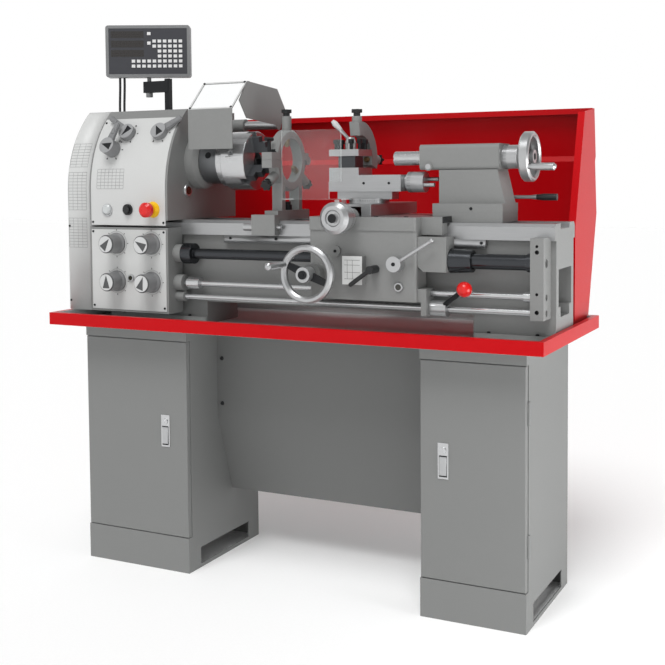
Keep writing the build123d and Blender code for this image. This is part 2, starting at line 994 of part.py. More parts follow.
def chuck():
    """Three-jaw chuck: stepped back, key sockets round its side and T-shaped jaw slots in its face."""
    length = chuck_front - chuck_left
    profile = [
        (chuck_bore_r, 0),
        (chuck_back_r, 0),
        (chuck_back_r, chuck_back_length),
        (chuck_r - chuck_groove, chuck_back_length),
        (chuck_r, chuck_back_length + chuck_groove),
        (chuck_r, length - chuck_groove),
        (chuck_r - chuck_groove, length),
        (chuck_bore_r, length),
    ]
    body = along_x(turned(profile), chuck_left, 0, axis_z)
    for angle in jaw_places():
        slot = block(chuck_front - jaw_slot_depth - slip, chuck_front + overrun, 0, chuck_r + overrun,
                     -jaw_width / 2 - slip, jaw_width / 2 + slip)
        body -= turned_to(slot, angle)
        socket = block(chuck_key_x - chuck_key / 2, chuck_key_x + chuck_key / 2, chuck_r - chuck_key_depth,
                       chuck_r + overrun, -chuck_key / 2, chuck_key / 2)
        rim = bar_z(chuck_key_x, 0, chuck_r - chuck_groove, chuck_r + overrun, chuck_key_rim_r)
        between = angle + 180 / jaw_count
        body -= turned_to(socket, between) + turned_to(Rot(-90, 0, 0) * rim, between)
    return body


def jaw(angle):
    """Stepped jaw in its slot."""
    outer = jaw_inner_r + jaw_step * jaw_steps
    body = block(chuck_front - jaw_slot_depth, chuck_front, jaw_inner_r, outer, -jaw_width / 2,
                 jaw_width / 2)
    for step in range(jaw_steps):
        reach = jaw_height * (jaw_steps - step) / jaw_steps
        body += block(chuck_front - overrun, chuck_front + reach, jaw_inner_r + step * jaw_step,
                      jaw_inner_r + (step + 1) * jaw_step, -jaw_width / 2, jaw_width / 2)
    return turned_to(body, angle)


def chuck_guard():
    """Folded hood over the chuck, with a rimmed side plate that hangs on the hinge bar."""
    fold = [
        (hood_front_y, hood_bottom_z),
        (hood_front_y, hood_bend_z),
        (hood_ridge_y, hood_ridge_z),
        (hood_ridge_y + hood_lip, hood_ridge_z),
    ]
    hood = prism_x(folded(fold, -hood_sheet), hood_left, hood_right)
    side = [
        (hood_ridge_y, hood_ridge_z),
        (hood_side_back_y, hood_side_back_z),
        (hood_side_rear_y, hood_side_rear_z),
        (hood_bar_y + hood_bar_r, hood_bar_z),
        (hood_bar_y - hood_bar_r, hood_bar_z),
        (hood_side_low_y, hood_side_low_z),
        (hood_side_inner_y, hood_side_inner_z),
    ]
    hood += prism_x(side, hood_right - hood_sheet, hood_right)
    rim = [(hood_side_rear_y, hood_side_rear_z), (hood_side_back_y, hood_side_back_z),
           (hood_ridge_y, hood_ridge_z)]
    hood += prism_x(folded(rim, hood_sheet), hood_right - hood_rim, hood_right)
    hood += bar_x(hood_bar_left, hood_right, hood_bar_y, hood_bar_z, hood_bar_r)
    return hood


# Controls on the headstock

def switch_bezels():
    """Signal lamp, ring of the start button and base of the stop button."""
    lamp = turned([(0, 0), (lamp_r, 0), (lamp_r, lamp_height - lamp_dome),
                   (lamp_r - lamp_dome, lamp_height),
                   (0, lamp_height)])
    ring = turned([(start_r + slip, 0), (start_ring_r, 0), (start_ring_r, start_ring_height),
                   (start_r + slip, start_ring_height)])
    base = turned([(stop_stem_r + slip, 0), (stop_base_r, 0),
                   (stop_base_r - stop_base_height / 2, stop_base_height),
                   (stop_stem_r + slip, stop_base_height)])
    return [
        towards_front(lamp, lamp_x, front_face, switch_z),
        towards_front(ring, start_x, front_face, switch_z),
        towards_front(base, stop_x, front_face, switch_z),
    ]


def start_button():
    """Push button inside its ring."""
    return bar_y(start_x, front_face - start_height, front_face - start_height + start_length, switch_z,
                 start_r)


def stop_button():
    """Mushroom stop button with its stem in the base."""
    under = stop_base_height + stop_head_gap
    top = under + stop_head_height
    profile = [
        (0, stop_stem_seat),
        (stop_stem_r, stop_stem_seat),
        (stop_stem_r, under),
        (stop_r, under),
        (stop_r, top - stop_head_round),
        (stop_r - stop_head_round, top),
        (0, top),
    ]
    return towards_front(turned(profile), stop_x, front_face, switch_z)


def gear_knob(x, z, pointer):
    """Selector knob with a skirt, a rounded face and a sunk pointer."""
    profile = [
        (0, 0),
        (knob_skirt_r, 0),
        (knob_skirt_r, knob_skirt / 2),
        (knob_r, knob_skirt),
        (knob_r, knob_length - knob_round),
        (knob_r - knob_round, knob_length),
        (0, knob_length),
    ]
    knob = turned(profile)
    knob -= Pos(0, 0, knob_length - arrow_depth) * Rot(0, 0, pointer) * arrow_pocket(knob_r)
    return towards_front(knob, x, front_face - slip, z)


def hub_plane(x, z):
    """Plane on the curved front at a height: its normal points outwards, its Y axis up the curve."""
    lean = asin((z - front_bend_z) / front_arc_r)
    y = front_arc_y - front_arc_r * cos(lean)
    return Plane(origin=(x, y, z), x_dir=(1, 0, 0), z_dir=(0, -cos(lean), sin(lean)))


def panel_lever(x, z, reach, angle, height):
    """Selector hub with a sunk pointer and a tapered arm with a grip, square to the curved front."""
    hub = Pos(0, 0, slip + height / 2) * Cylinder(lever_hub_r, height)
    hub -= Pos(0, 0, slip + height - arrow_depth) * Rot(0, 0, angle) * arrow_pocket(lever_hub_r)
    middle = slip + height - lever_hub_height / 2
    length = reach - lever_grip_length / 2
    arm = prism_z([(lever_hub_r / 2, -lever_arm_start), (length, -lever_arm_end), (length, lever_arm_end),
                   (lever_hub_r / 2, lever_arm_start)], middle - lever_arm_thickness / 2,
                  middle + lever_arm_thickness / 2)
    arm -= Pos(0, 0, middle) * Cylinder(lever_hub_r - overrun, 2 * lever_hub_height)
    grip = Pos(length, 0, middle) * Rot(0, 90, 0) * Cylinder(lever_grip_r, lever_grip_length)
    grip = fillet(grip.edges(), lever_grip_r / 2)
    return hub_plane(x, z) * (hub + Rot(0, 0, angle) * (arm + grip))


# Readout

def readout_post():
    """Square post on the headstock with an arm that carries the display."""
    foot = post_foot_side / 2
    side = post_side / 2
    post = block(post_x - foot, post_x + foot, readout_y - foot, readout_y + foot, headstock_top,
                 headstock_top + post_foot)
    post += block(post_x - side, post_x + side, readout_y - side, readout_y + side, headstock_top, post_top)
    arm = block(readout_x - arm_end, post_x + side, readout_y - arm_width / 2, readout_y + arm_width / 2,
                arm_z, arm_z + arm_thickness)
    post += fillet(arm.edges().filter_by(Axis.Z), side)
    return post - bar_z(readout_x, readout_y, arm_z - overrun, arm_z + arm_thickness + overrun,
                        stem_r + running_fit)


def readout_display():
    """Display box with rounded corners, a sunk face, and a stem with a nut that swivels in the arm."""
    half = readout_width / 2
    box = block(-half, half, -readout_depth / 2, readout_depth / 2, readout_base_z,
                readout_base_z + readout_height)
    box = fillet(box.edges().filter_by(Axis.Y), readout_round)
    box -= block(readout_rim - half, half - readout_rim, -readout_depth / 2 - overrun,
                 readout_recess - readout_depth / 2, readout_base_z + readout_rim,
                 readout_base_z + readout_height - readout_rim)
    box += bar_z(0, 0, arm_z - stem_nut_height, readout_base_z + overrun, stem_r)
    box += bar_z(0, 0, arm_z - stem_nut_height, arm_z - slip, stem_nut_r)
    return Pos(readout_x, readout_y, 0) * Rot(0, 0, readout_turn) * box


def cable_route(number):
    """Points of one readout cable, from the display down to the top of the end cover."""
    offset = cable_offset - number * cable_spacing
    turn = radians(readout_turn)
    top = (readout_x + offset * cos(turn) - cable_back * sin(turn),
           readout_y + offset * sin(turn) + cable_back * cos(turn), readout_base_z)
    foot = (top[0] - cable_sway, top[1] + cable_sway, headstock_top)
    return [
        top,
        (top[0], top[1], top[2] - cable_straight),
        (foot[0], foot[1], foot[2] + cable_straight),
        foot,
    ]


def readout_cable(number):
    """Round cable along its route, bent as gently as its runs allow."""
    points = [Vector(*p) for p in cable_route(number)]
    radii = []
    for before, here, after in zip(points, points[1:], points[2:]):
        turn = radians((here - before).get_angle(after - here))
        shorter = min((here - before).length, (after - here).length)
        radii.append(cable_bend_share * shorter / (sin(turn / 2) / cos(turn / 2)))
    path = FilletPolyline(*points, radius=radii)
    return sweep(Plane(origin=path @ 0, z_dir=path % 0) * Circle(cable_r), path=path)


# Rods

def lead_covers():
    """Dark tubes over the lead screw: one from the gearbox, one from the right bracket."""
    left_end = rod_boss_right + lead_collar_length
    left = bar_x(rod_boss_right, left_end, rod_y, lead_z, lead_collar_r)
    left += bar_x(left_end - overrun, saddle_left + left_cover_reach, rod_y, lead_z, left_cover_r)
    left -= bar_x(rod_boss_right - overrun, saddle_left + left_cover_reach + overrun, rod_y, lead_z,
                  lead_r + cover_bore_play)
    right = bar_x(right_cover_left, bracket_left, rod_y, lead_z, right_cover_r)
    right += bar_x(bracket_left - right_collar_length, bracket_left, rod_y, lead_z, right_collar_r)
    right -= bar_x(right_cover_left - overrun, bracket_left + overrun, rod_y, lead_z,
                   lead_r + cover_bore_play)
    return [left, right]


def lead_screw():
    """Lead screw inside its covers."""
    return bar_x(rod_left, rod_right, rod_y, lead_z, lead_r)


def feed_ring(left, right, r):
    """Ring pinned on the feed rod."""
    ring = bar_x(left, right, rod_y, feed_z, r)
    return ring - bar_x(left - overrun, right + overrun, rod_y, feed_z, feed_r + running_fit)


def feed_rod():
    """Feed rod with its shear coupling and its end collar, each a ring on it."""
    start = rod_boss_right + feed_coupling_gap
    end = bracket_left - slip
    return [
        bar_x(rod_left, rod_right, rod_y, feed_z, feed_r),
        feed_ring(start, start + feed_coupling_length, feed_coupling_r),
        feed_ring(end - feed_collar_length, end, feed_collar_r),
    ]


def start_rod():
    """Rod that carries the start lever's turn to the gearbox end."""
    return bar_x(rod_left, rod_right, rod_y, start_rod_z, start_rod_r)


def rod_bracket():
    """Bracket on the bed's right end, bored through for the rods, with screw holes in its front."""
    body = block(bracket_left, bracket_right, bracket_front, -bed_wall_face, bracket_bottom, rail_bottom)
    body += block(bracket_left, bracket_right, bracket_front, -bed_half_width, bracket_bottom, bracket_top)
    middle = (bracket_left + bracket_right) / 2
    for place, share in enumerate(bracket_hole_shares):
        z = bracket_bottom + share * (bracket_top - bracket_bottom)
        r = bracket_hole_r if place % 2 else bracket_small_hole_r
        body -= bar_y(middle, bracket_front - overrun, bracket_front + bracket_hole_depth, z, r)
    for z, r in ((lead_z, lead_r), (feed_z, feed_r), (start_rod_z, start_rod_r)):
        body -= bar_x(bracket_left - overrun, bracket_right + overrun, rod_y, z, r + running_fit)
    return body


def bed_stop():
    """Micrometer stop clamped on the front rail, with its thimble and anvil."""
    body = block(stop_block_left, stop_block_right, stop_block_front, -bed_half_width, stop_block_bottom,
                 stop_block_top)
    screw_y = (stop_block_front - bed_half_width) / 2
    body += bar_x(stop_block_left - stop_knob_length, stop_block_left, screw_y, stop_screw_z, stop_knob_r)
    body += bar_x(stop_block_right, stop_block_right + stop_anvil, screw_y, stop_screw_z, stop_screw_r)
    return body


# Carriage

def saddle():
    """H-shaped saddle on the ways, with a front block, a rear skirt and the cross screw's boss."""
    wing_back = -tail_base_half - saddle_wing_gap
    body = block(saddle_waist_left, saddle_waist_right, saddle_face, saddle_back, way_top, saddle_top)
    body += block(saddle_left, saddle_right, saddle_face, wing_back, way_top, saddle_top)
    body += block(saddle_left, saddle_wing_right, saddle_wing_front, wing_back, way_top, saddle_top)
    body += block(saddle_left, saddle_right, saddle_face, -bed_half_width - slip, saddle_seam_z,
                  way_top + overrun)
    body += block(saddle_right, saddle_wing_right, saddle_wing_front, -bed_half_width - slip,
                  saddle_skirt_bottom, way_top + overrun)
    body += block(saddle_waist_left, saddle_waist_right, bed_half_width + slip, saddle_back,
                  saddle_skirt_bottom, way_top + overrun)
    edges = body.edges().filter_by(Axis.Z).filter_by_position(Axis.Y, saddle_face - slip,
                                                              saddle_face + slip)
    body = fillet(edges, saddle_round)
    body += bar_y(cross_x, saddle_face, saddle_face + cross_boss_length, cross_axis_z, cross_boss_r)
    return body - bar_y(cross_x, saddle_face - overrun, saddle_face + cross_boss_length, cross_axis_z,
                        cross_shaft_r + running_fit)


def apron():
    """Apron casting under the saddle, with its label block, cap, handwheel boss and thread dial housing."""
    body = block(saddle_left, saddle_right, saddle_front, apron_back, apron_bottom, saddle_seam_z)
    body = fillet(body.edges().filter_by(Axis.Z).sort_by(Axis.Y)[:2], apron_round)
    housing = [
        (saddle_right - overrun, housing_top),
        (housing_right, housing_top),
        (housing_right, housing_bottom),
        (saddle_right + housing_slope, housing_bottom),
        (saddle_right - overrun, housing_bottom + housing_slope),
    ]
    body += prism_y(housing, housing_front, apron_back)
    body += block(label_left, label_right, saddle_front - label_depth, saddle_front, label_bottom,
                  label_top)
    body += bar_y(cap_x, saddle_front - cap_height, saddle_front, cap_z, cap_r)
    body += bar_y(wheel_x, saddle_front - wheel_boss_length, saddle_front + overrun, wheel_z, wheel_boss_r)
    body += block(saddle_right, start_plate_left + start_plate_thickness, start_plate_front,
                  start_plate_back,
                  apron_bottom, start_plate_top)
    body += block(start_plate_left, start_plate_left + start_plate_thickness, start_plate_front,
                  start_plate_back,
                  start_plate_bottom, start_plate_top)
    left_deep = saddle_left + (saddle_right - saddle_left) / 2
    right_deep = saddle_right - label_depth
    body -= bar_x(saddle_left - overrun, left_deep, rod_y, lead_z, left_cover_r + slip)
    body -= bar_x(right_deep, housing_right + overrun, rod_y, lead_z, right_cover_r + slip)
    body -= bar_x(saddle_left, housing_right, rod_y, lead_z, lead_r + cover_bore_play)
    body -= bar_x(saddle_left - overrun, housing_right, rod_y, feed_z, feed_r + slip)
    body -= bar_x(saddle_right, housing_right, rod_y, start_rod_z, start_rod_r + slip)
    return body - bar_y(wheel_x, saddle_front - wheel_boss_length - overrun,
                        saddle_front + wheel_shaft_seat, wheel_z,
                        wheel_shaft_r + running_fit)


def lead_cup():
    """Tapered cup on the housing that the right cover tube runs into."""
    profile = [(right_cover_r + slip, 0), (cup_r, 0), (cup_end_r, cup_length),
               (right_cover_r + slip, cup_length)]
    return along_x(turned(profile), housing_right, rod_y, lead_z)


def spoked_wheel(r, rim, depth, hub_r, hub_length, spokes, turn):
    """Wheel in the XY plane with a rounded band as its rim, flat tapered spokes and a hub towards +Z."""
    inner, half, edge = r - rim, depth / 2, rim * wheel_edge_share
    wheel = turned([
        (inner + edge, -half),
        (r - edge, -half),
        (r, edge - half),
        (r, half - edge),
        (r - edge, half),
        (inner + edge, half),
        (inner, half - edge),
        (inner, edge - half),
    ])
    wheel += Pos(0, 0, hub_length / 2 - half) * Cylinder(hub_r, hub_length)
    reach = r - rim / 2
    arm = prism_z([(0, -wheel_spoke_foot / 2), (reach, -wheel_spoke_end / 2), (reach, wheel_spoke_end / 2),
                   (0, wheel_spoke_foot / 2)], -wheel_spoke_thickness / 2, wheel_spoke_thickness / 2)
    for spoke in range(spokes):
        wheel += Rot(0, 0, turn + spoke * 360 / spokes) * arm
    return wheel


def crank_handle(r, neck_r, length, neck):
    """Turned handle along +Z: a narrow neck that swells to a round-ended grip."""
    profile = [
        (0, 0),
        (neck_r, 0),
        (neck_r, neck),
        (r, neck + r),
        (r, length - r / 2),
        (r / 2, length),
        (0, length),
    ]
    return turned(profile)


def carriage_handwheel():
    """Traverse handwheel with its shaft in the apron and a crank handle on the rim."""
    wheel = spoked_wheel(wheel_r, wheel_rim, wheel_depth, wheel_hub_r, wheel_hub_length, wheel_spokes,
                         wheel_handle_turn)
    turn = radians(wheel_handle_turn)
    place = wheel_r - wheel_rim / 2
    wheel += Pos(place * cos(turn), place * sin(turn), 0) * crank_handle(
        wheel_handle_r, wheel_handle_neck_r, wheel_handle_length, wheel_handle_neck)
    wheel = Pos(wheel_x, wheel_y, wheel_z) * Rot(90, 0, 0) * wheel
    return wheel + bar_y(wheel_x, wheel_y, saddle_front + wheel_shaft_seat - slip, wheel_z, wheel_shaft_r)


def cross_slide():
    """Cross slide across the saddle, channelled underneath for its screw."""
    left, right = cross_x - cross_half_width, cross_x + cross_half_width
    slide = block(left, right, cross_front, cross_back, saddle_top, cross_top)
    return slide - block(cross_x - cross_channel_half, cross_x + cross_channel_half, cross_front - overrun,
                         cross_back - cross_channel_half, saddle_top - overrun, cross_channel_top)


def cross_dial():
    """Cross feed handwheel: sleeve, graduated dial and dished knob, with its shaft in the boss."""
    dial_end = cross_sleeve_length + cross_dial_length
    end = dial_end + cross_wheel_length
    shaft = slip - cross_boss_length
    profile = [
        (0, shaft),
        (cross_shaft_r, shaft),
        (cross_shaft_r, 0),
        (cross_sleeve_r, 0),
        (cross_sleeve_r, cross_sleeve_length),
        (cross_dial_r, cross_sleeve_length),
        (cross_dial_r, dial_end),
        (cross_wheel_r - cross_wheel_round, dial_end),
        (cross_wheel_r, dial_end + cross_wheel_round),
        (cross_wheel_r, end - cross_wheel_round),
        (cross_wheel_r - cross_wheel_round, end),
        (cross_wheel_r - 2 * cross_wheel_round, end),
        (cross_wheel_r - 2 * cross_wheel_round - cross_wheel_dish, end - cross_wheel_dish),
        (cross_nut_r, end - cross_wheel_dish),
        (cross_nut_r, end + cross_nut_length),
        (0, end + cross_nut_length),
    ]
    return towards_front(turned(profile), cross_x, saddle_face - slip, cross_axis_z)


def swivel_base():
    """Round graduated base with the rail that carries the top slide."""
    base = bar_z(swivel_x, slide_y, cross_top, cross_top + swivel_height, swivel_r)
    return base + block(rail_left, rail_right, slide_y - rail_half_width, slide_y + rail_half_width,
                        cross_top + swivel_height - overrun, slide_channel_top)


def top_slide():
    """Top slide, channelled over the rail, with the bearing cap of its screw."""
    slide = block(slide_left, slide_right, slide_y - slide_half_width, slide_y + slide_half_width,
                  slide_bottom, slide_top)
    slide -= block(slide_left - overrun, slide_right + overrun, slide_y - rail_half_width - slip,
                   slide_y + rail_half_width + slip, slide_bottom - overrun, slide_channel_top + slip)
    slide += block(slide_right - slide_cap, slide_right, slide_y - rail_half_width,
                   slide_y + rail_half_width,
                   slide_bottom, slide_top)
    return slide - bar_x(slide_right - slide_cap - overrun, slide_right + overrun, slide_y, slide_axis_z,
                         slide_shaft_r + running_fit)


def top_slide_dial():
    """Graduated dial of the top slide with two crank pegs."""
    start = slide_right + slip
    dial = bar_x(slide_right - slide_cap, start + slide_dial_start, slide_y, slide_axis_z, slide_shaft_r)
    dial += bar_x(start, start + slide_dial_start, slide_y, slide_axis_z, slide_dial_collar_r)
    face = start + slide_dial_start + slide_dial_length
    dial += bar_x(start + slide_dial_start, face, slide_y, slide_axis_z, slide_dial_r)
    for side in (-1, 1):
        dial += bar_x(face - overrun, face + slide_peg_length, slide_y + side * slide_peg_place,
                      slide_axis_z + side * slide_peg_place / 2, slide_peg_r)
    return dial


def tool_post():
    """Four-way tool post: slotted block with its clamping bolts."""
    half, core = tool_post_side / 2, tool_post_core / 2
    x, y = post_centre_x, slide_y
    body = block(x - half, x + half, y - half, y + half, slide_top, tool_slot_bottom)
    body += block(x - core, x + core, y - core, y + core, tool_slot_bottom, tool_slot_top)
    body += block(x - half, x + half, y - half, y + half, tool_slot_top, tool_post_top)
    solids = [body]
    for quarter in range(4):
        for side in (-1, 1):
            place = Rot(0, 0, 90 * quarter) * Pos(side * tool_post_side * tool_bolt_spread_share,
                                                   tool_post_side * tool_bolt_share, 0)
            bolt = bar_z(0, 0, tool_post_top, tool_post_top + tool_bolt_height - tool_bolt_head,
                         tool_bolt_r * tool_shank_share)
            head = Box(tool_bolt_r * 2, tool_bolt_r * 2, tool_bolt_head)
            bolt += Pos(0, 0, tool_post_top + tool_bolt_height - tool_bolt_head / 2) * head
            solids.append(Pos(x, y, 0) * place * bolt)
    return solids


def tool_post_lever():
    """Clamp lever of the tool post: hub, rising arm and tapered grip."""
    x, y = post_centre_x, slide_y
    hub = Pos(x, y, tool_post_top + slip) * turned([
        (0, 0), (tool_hub_r, 0), (tool_hub_r, tool_hub_height / 2), (tool_hub_top_r, tool_hub_height),
        (0, tool_hub_height)])
    turn = radians(tool_arm_turn)
    start = Vector(x, y, tool_post_top + tool_hub_height * tool_arm_share)
    end = start + Vector(tool_arm_reach * cos(turn), tool_arm_reach * sin(turn), tool_arm_rise)
    line = (end - start).normalized()
    foot_r, end_r = [tool_grip_r * share for share in tool_grip_shares]
    grip = turned([(0, 0), (foot_r, 0), (tool_grip_r, tool_grip_length * tool_swell_share),
                   (end_r, tool_grip_length), (0, tool_grip_length)])
    grip = Plane(origin=end - line * tool_grip_r, z_dir=line) * grip
    return hub + rod(tuple(start), tuple(end), tool_arm_r) + grip


def chip_shield():
    """Clear bent shield: upright pane with a cut corner, a floor flange, and a foot on the cross slide."""
    pane = [
        (shield_left, shield_bottom),
        (shield_right - shield_notch, shield_bottom),
        (shield_right - shield_notch, shield_bottom + shield_notch_height),
        (shield_right, shield_bottom + shield_notch_height),
        (shield_right, shield_top),
        (shield_left, shield_top),
    ]
    shield = prism_y(pane, shield_y, shield_y + shield_sheet)
    shield += block(shield_left, shield_right, shield_y, shield_y + shield_flange, shield_bottom,
                    shield_bottom + shield_sheet)
    foot_left = cross_x - cross_half_width
    return shield + block(foot_left, foot_left + shield_foot_width, cross_front,
                          cross_front + shield_foot_depth,
                          cross_top, shield_bottom + shield_sheet)


def radial(part, angle, x, z=axis_z):
    """A piece drawn along +Z from the origin, set radially round the spindle axis at an angle."""
    return Pos(x, 0, z) * Rot(angle - 90, 0, 0) * part


def ring_sector(x0, x1, inner_r, outer_r, start, end):
    """Part of a flat ring round the spindle axis, between two angles from the back upwards."""
    ring = bar_x(x0, x1, 0, axis_z, outer_r) - bar_x(x0 - overrun, x1 + overrun, 0, axis_z, inner_r)
    far = 2 * outer_r
    fan = [(0, axis_z)]
    for step in range(fan_steps + 1):
        angle = radians(start + (end - start) * step / fan_steps)
        fan.append((far * cos(angle), axis_z + far * sin(angle)))
    return ring & prism_x(fan, x0 - overrun, x1 + overrun)


def finger_boss(inner_r, outer_r):
    """Round boss along +Z that carries a finger through a ring."""
    return Pos(0, 0, (inner_r + outer_r) / 2) * Cylinder(finger_boss_r, outer_r - inner_r)


def finger(tip_r, boss_r):
    """Adjusting finger along +Z: brass pad, round shaft and a star knob beyond the boss."""
    shaft = Pos(0, 0, (tip_r + finger_r + boss_r) / 2) * Cylinder(finger_r, boss_r - tip_r - finger_r)
    tip = Pos(0, 0, tip_r) * turned([(0, 0), (finger_pad_r, 0), (finger_r, finger_r), (0, finger_r)])
    return shaft + tip + Pos(0, 0, boss_r) * star_knob(star_r, star_height, star_neck_r)


def follow_rest():
    """Follow rest on the saddle: column, curved arm, and two fingers towards the spindle axis."""
    right = follow_left + follow_thickness
    middle = (follow_left + right) / 2
    body = ring_sector(follow_left, right, follow_inner_r, follow_outer_r, follow_start, follow_end)
    body += block(follow_column_left, follow_column_right, follow_column_front, follow_column_back,
                  saddle_top,
                  axis_z)
    body += block(follow_column_left, follow_column_right, follow_foot_front, follow_column_back,
                  saddle_top,
                  saddle_top + follow_foot_height)
    for angle, tip_r, end_r in ((90, follow_top_tip_r, follow_boss_top_r),
                                (0, follow_side_tip_r, follow_boss_side_r)):
        body += radial(finger_boss(follow_inner_r, end_r), angle, middle)
        body += radial(finger(tip_r, end_r), angle, middle)
    return body


def half_nut_lever():
    """Half-nut lever: hub on the apron with a short arm down to the left."""
    hub = bar_y(half_nut_x, half_nut_front, saddle_front - slip, half_nut_z, half_nut_hub_r)
    y = half_nut_front + half_nut_hub_r / 2
    tip = (half_nut_x + half_nut_reach_x, y, half_nut_z + half_nut_reach_z)
    return hub + rod((half_nut_x, y, half_nut_z), tip, half_nut_arm_r) + Pos(*tip) * Sphere(half_nut_arm_r)


def feed_lever():
    """Feed lever: round hub on the apron with a slim rod up to the right."""
    front = saddle_front - feed_lever_hub_length
    hub = bar_y(feed_lever_x, front, saddle_front - slip, feed_lever_z, feed_lever_hub_r)
    y = front + feed_lever_hub_length / 3
    tip = (feed_lever_x + feed_lever_reach_x, y, feed_lever_z + feed_lever_reach_z)
    return hub + rod((feed_lever_x, y, feed_lever_z), tip,
                     feed_lever_rod_r) + Pos(*tip) * Sphere(feed_lever_tip_r)


def start_lever():
    """Start lever: hub that slides on the start rod, bent arm and ball."""
    left = start_plate_left + start_plate_thickness + slip
    hub = bar_x(left, left + start_hub_length, rod_y, start_rod_z, start_hub_r)
    ball = (start_ball_x, start_ball_y, start_ball_z)
    hub += rod((left + start_hub_length / 2, rod_y, start_rod_z), ball, start_arm_r)
    hub += Pos(*ball) * Sphere(start_ball_r)
    return hub - bar_x(left - overrun, left + start_hub_length + overrun, rod_y, start_rod_z,
                       start_rod_r + running_fit)


# Steady rest

def rail_clamp(x0, x1):
    """Clamp plate under the rails with its bolt, for what is set on the bed."""
    middle = (x0 + x1) / 2
    plate = block(x0, x1, -clamp_half_width, clamp_half_width, clamp_bottom, clamp_top)
    return plate + bar_z(middle, 0, clamp_bottom, way_top + overrun, clamp_bolt_r)


def steady_ring():
    """Whole ring of the steady rest with bevelled outer edges, before it is split."""
    rim = steady_outer_r - steady_bevel
    profile = [
        (steady_inner_r, 0),
        (rim, 0),
        (steady_outer_r, steady_bevel),
        (steady_outer_r, steady_thickness - steady_bevel),
        (rim, steady_thickness),
        (steady_inner_r, steady_thickness),
    ]
    return along_x(turned(profile), steady_left, 0, axis_z)


def steady_base():
    """Lower half of the steady rest: base on the rails, two legs, half ring, fingers and hinge ear."""
    right = steady_left + steady_thickness
    middle = (steady_left + right) / 2
    body = block(steady_base_left, steady_base_right, -steady_base_half, steady_base_half, way_top,
                 steady_base_top)
    for side in (-1, 1):
        inner = side * (steady_leg_place - steady_leg_width / 2)
        outer = side * (steady_leg_place + steady_leg_width / 2)
        body += block(steady_left, right, min(inner, outer), max(inner, outer), way_top,
                      axis_z - steady_inner_r / 2)
    body += steady_ring()
    body -= bar_x(steady_left - overrun, right + overrun, 0, axis_z, steady_inner_r)
    body -= block(steady_left - overrun, right + overrun, -2 * steady_outer_r, 2 * steady_outer_r, axis_z,
                  axis_z + 2 * steady_outer_r)
    body += block(steady_left, right, -steady_outer_r - steady_lug, steady_lug - steady_outer_r,
                  axis_z - steady_lug_height, axis_z) - bar_x(
        steady_left - overrun, right + overrun, 0, axis_z, steady_inner_r)
    ear = steady_thickness / 3
    body += block(steady_left + ear, right - ear, steady_inner_r, steady_hinge_y,
                  axis_z - steady_lug_height, axis_z)
    body += bar_x(steady_left + ear, right - ear, steady_hinge_y, axis_z, steady_hinge_r)
    body -= bar_x(steady_left, right, steady_hinge_y, axis_z, steady_pin_r + running_fit)
    for angle in steady_lower_angles:
        body += radial(finger_boss(steady_inner_r, steady_boss_r), angle, middle)
        body += radial(finger(steady_finger_tip_r, steady_boss_r), angle, middle)
    body += bar_z(middle, 0, steady_base_top - overrun, steady_base_top + clamp_bolt_head,
                  clamp_bolt_head_r)
    return body + rail_clamp(middle - clamp_length / 2, middle + clamp_length / 2)


def steady_top():
    """Upper half of the steady rest: half ring, lug with a tee screw, hinge ears on a pin, top finger."""
    right = steady_left + steady_thickness
    middle = (steady_left + right) / 2
    low = axis_z + steady_split_gap
    body = steady_ring()
    body -= block(steady_left - overrun, right + overrun, -2 * steady_outer_r, 2 * steady_outer_r,
                  axis_z - 2 * steady_outer_r, low)
    body += block(steady_left, right, -steady_outer_r - steady_lug, steady_lug - steady_outer_r, low,
                  low + steady_lug_height) - bar_x(steady_left - overrun, right + overrun, 0, axis_z,
                                                   steady_inner_r)
    ear = steady_thickness / 3
    for left in (steady_left, right - ear + slip):
        body += block(left, left + ear - slip, steady_inner_r + steady_lug / 2, steady_hinge_y, low,
                      low + steady_lug_height)
        body += bar_x(left, left + ear - slip, steady_hinge_y, axis_z, steady_hinge_r)
    body -= bar_x(steady_left + ear - slip, right - ear + slip, steady_hinge_y, axis_z,
                  steady_hinge_r + slip)
    body += bar_x(steady_left, right, steady_hinge_y, axis_z, steady_pin_r)
    body += radial(finger_boss(steady_inner_r, steady_boss_r), 90, middle)
    body += radial(finger(steady_finger_tip_r, steady_boss_r), 90, middle)
    screw_y = -steady_outer_r - steady_lug / 2
    tee_z = low + steady_lug_height + steady_screw_rise
    body += bar_z(middle, screw_y, low + steady_lug_height, tee_z, steady_screw_r)
    return body + bar_y(middle, screw_y - steady_tee_length / 2, screw_y + steady_tee_length / 2, tee_z,
                        steady_tee_r)


# Tailstock

def tailstock_base():
    """Base plate on the rails with the clamp plate below."""
    base = block(tail_base_left, tail_base_right, -tail_base_half, tail_base_half, way_top, tail_base_top)
    return base + rail_clamp(tail_plate_left, tail_plate_left + tail_plate_length)


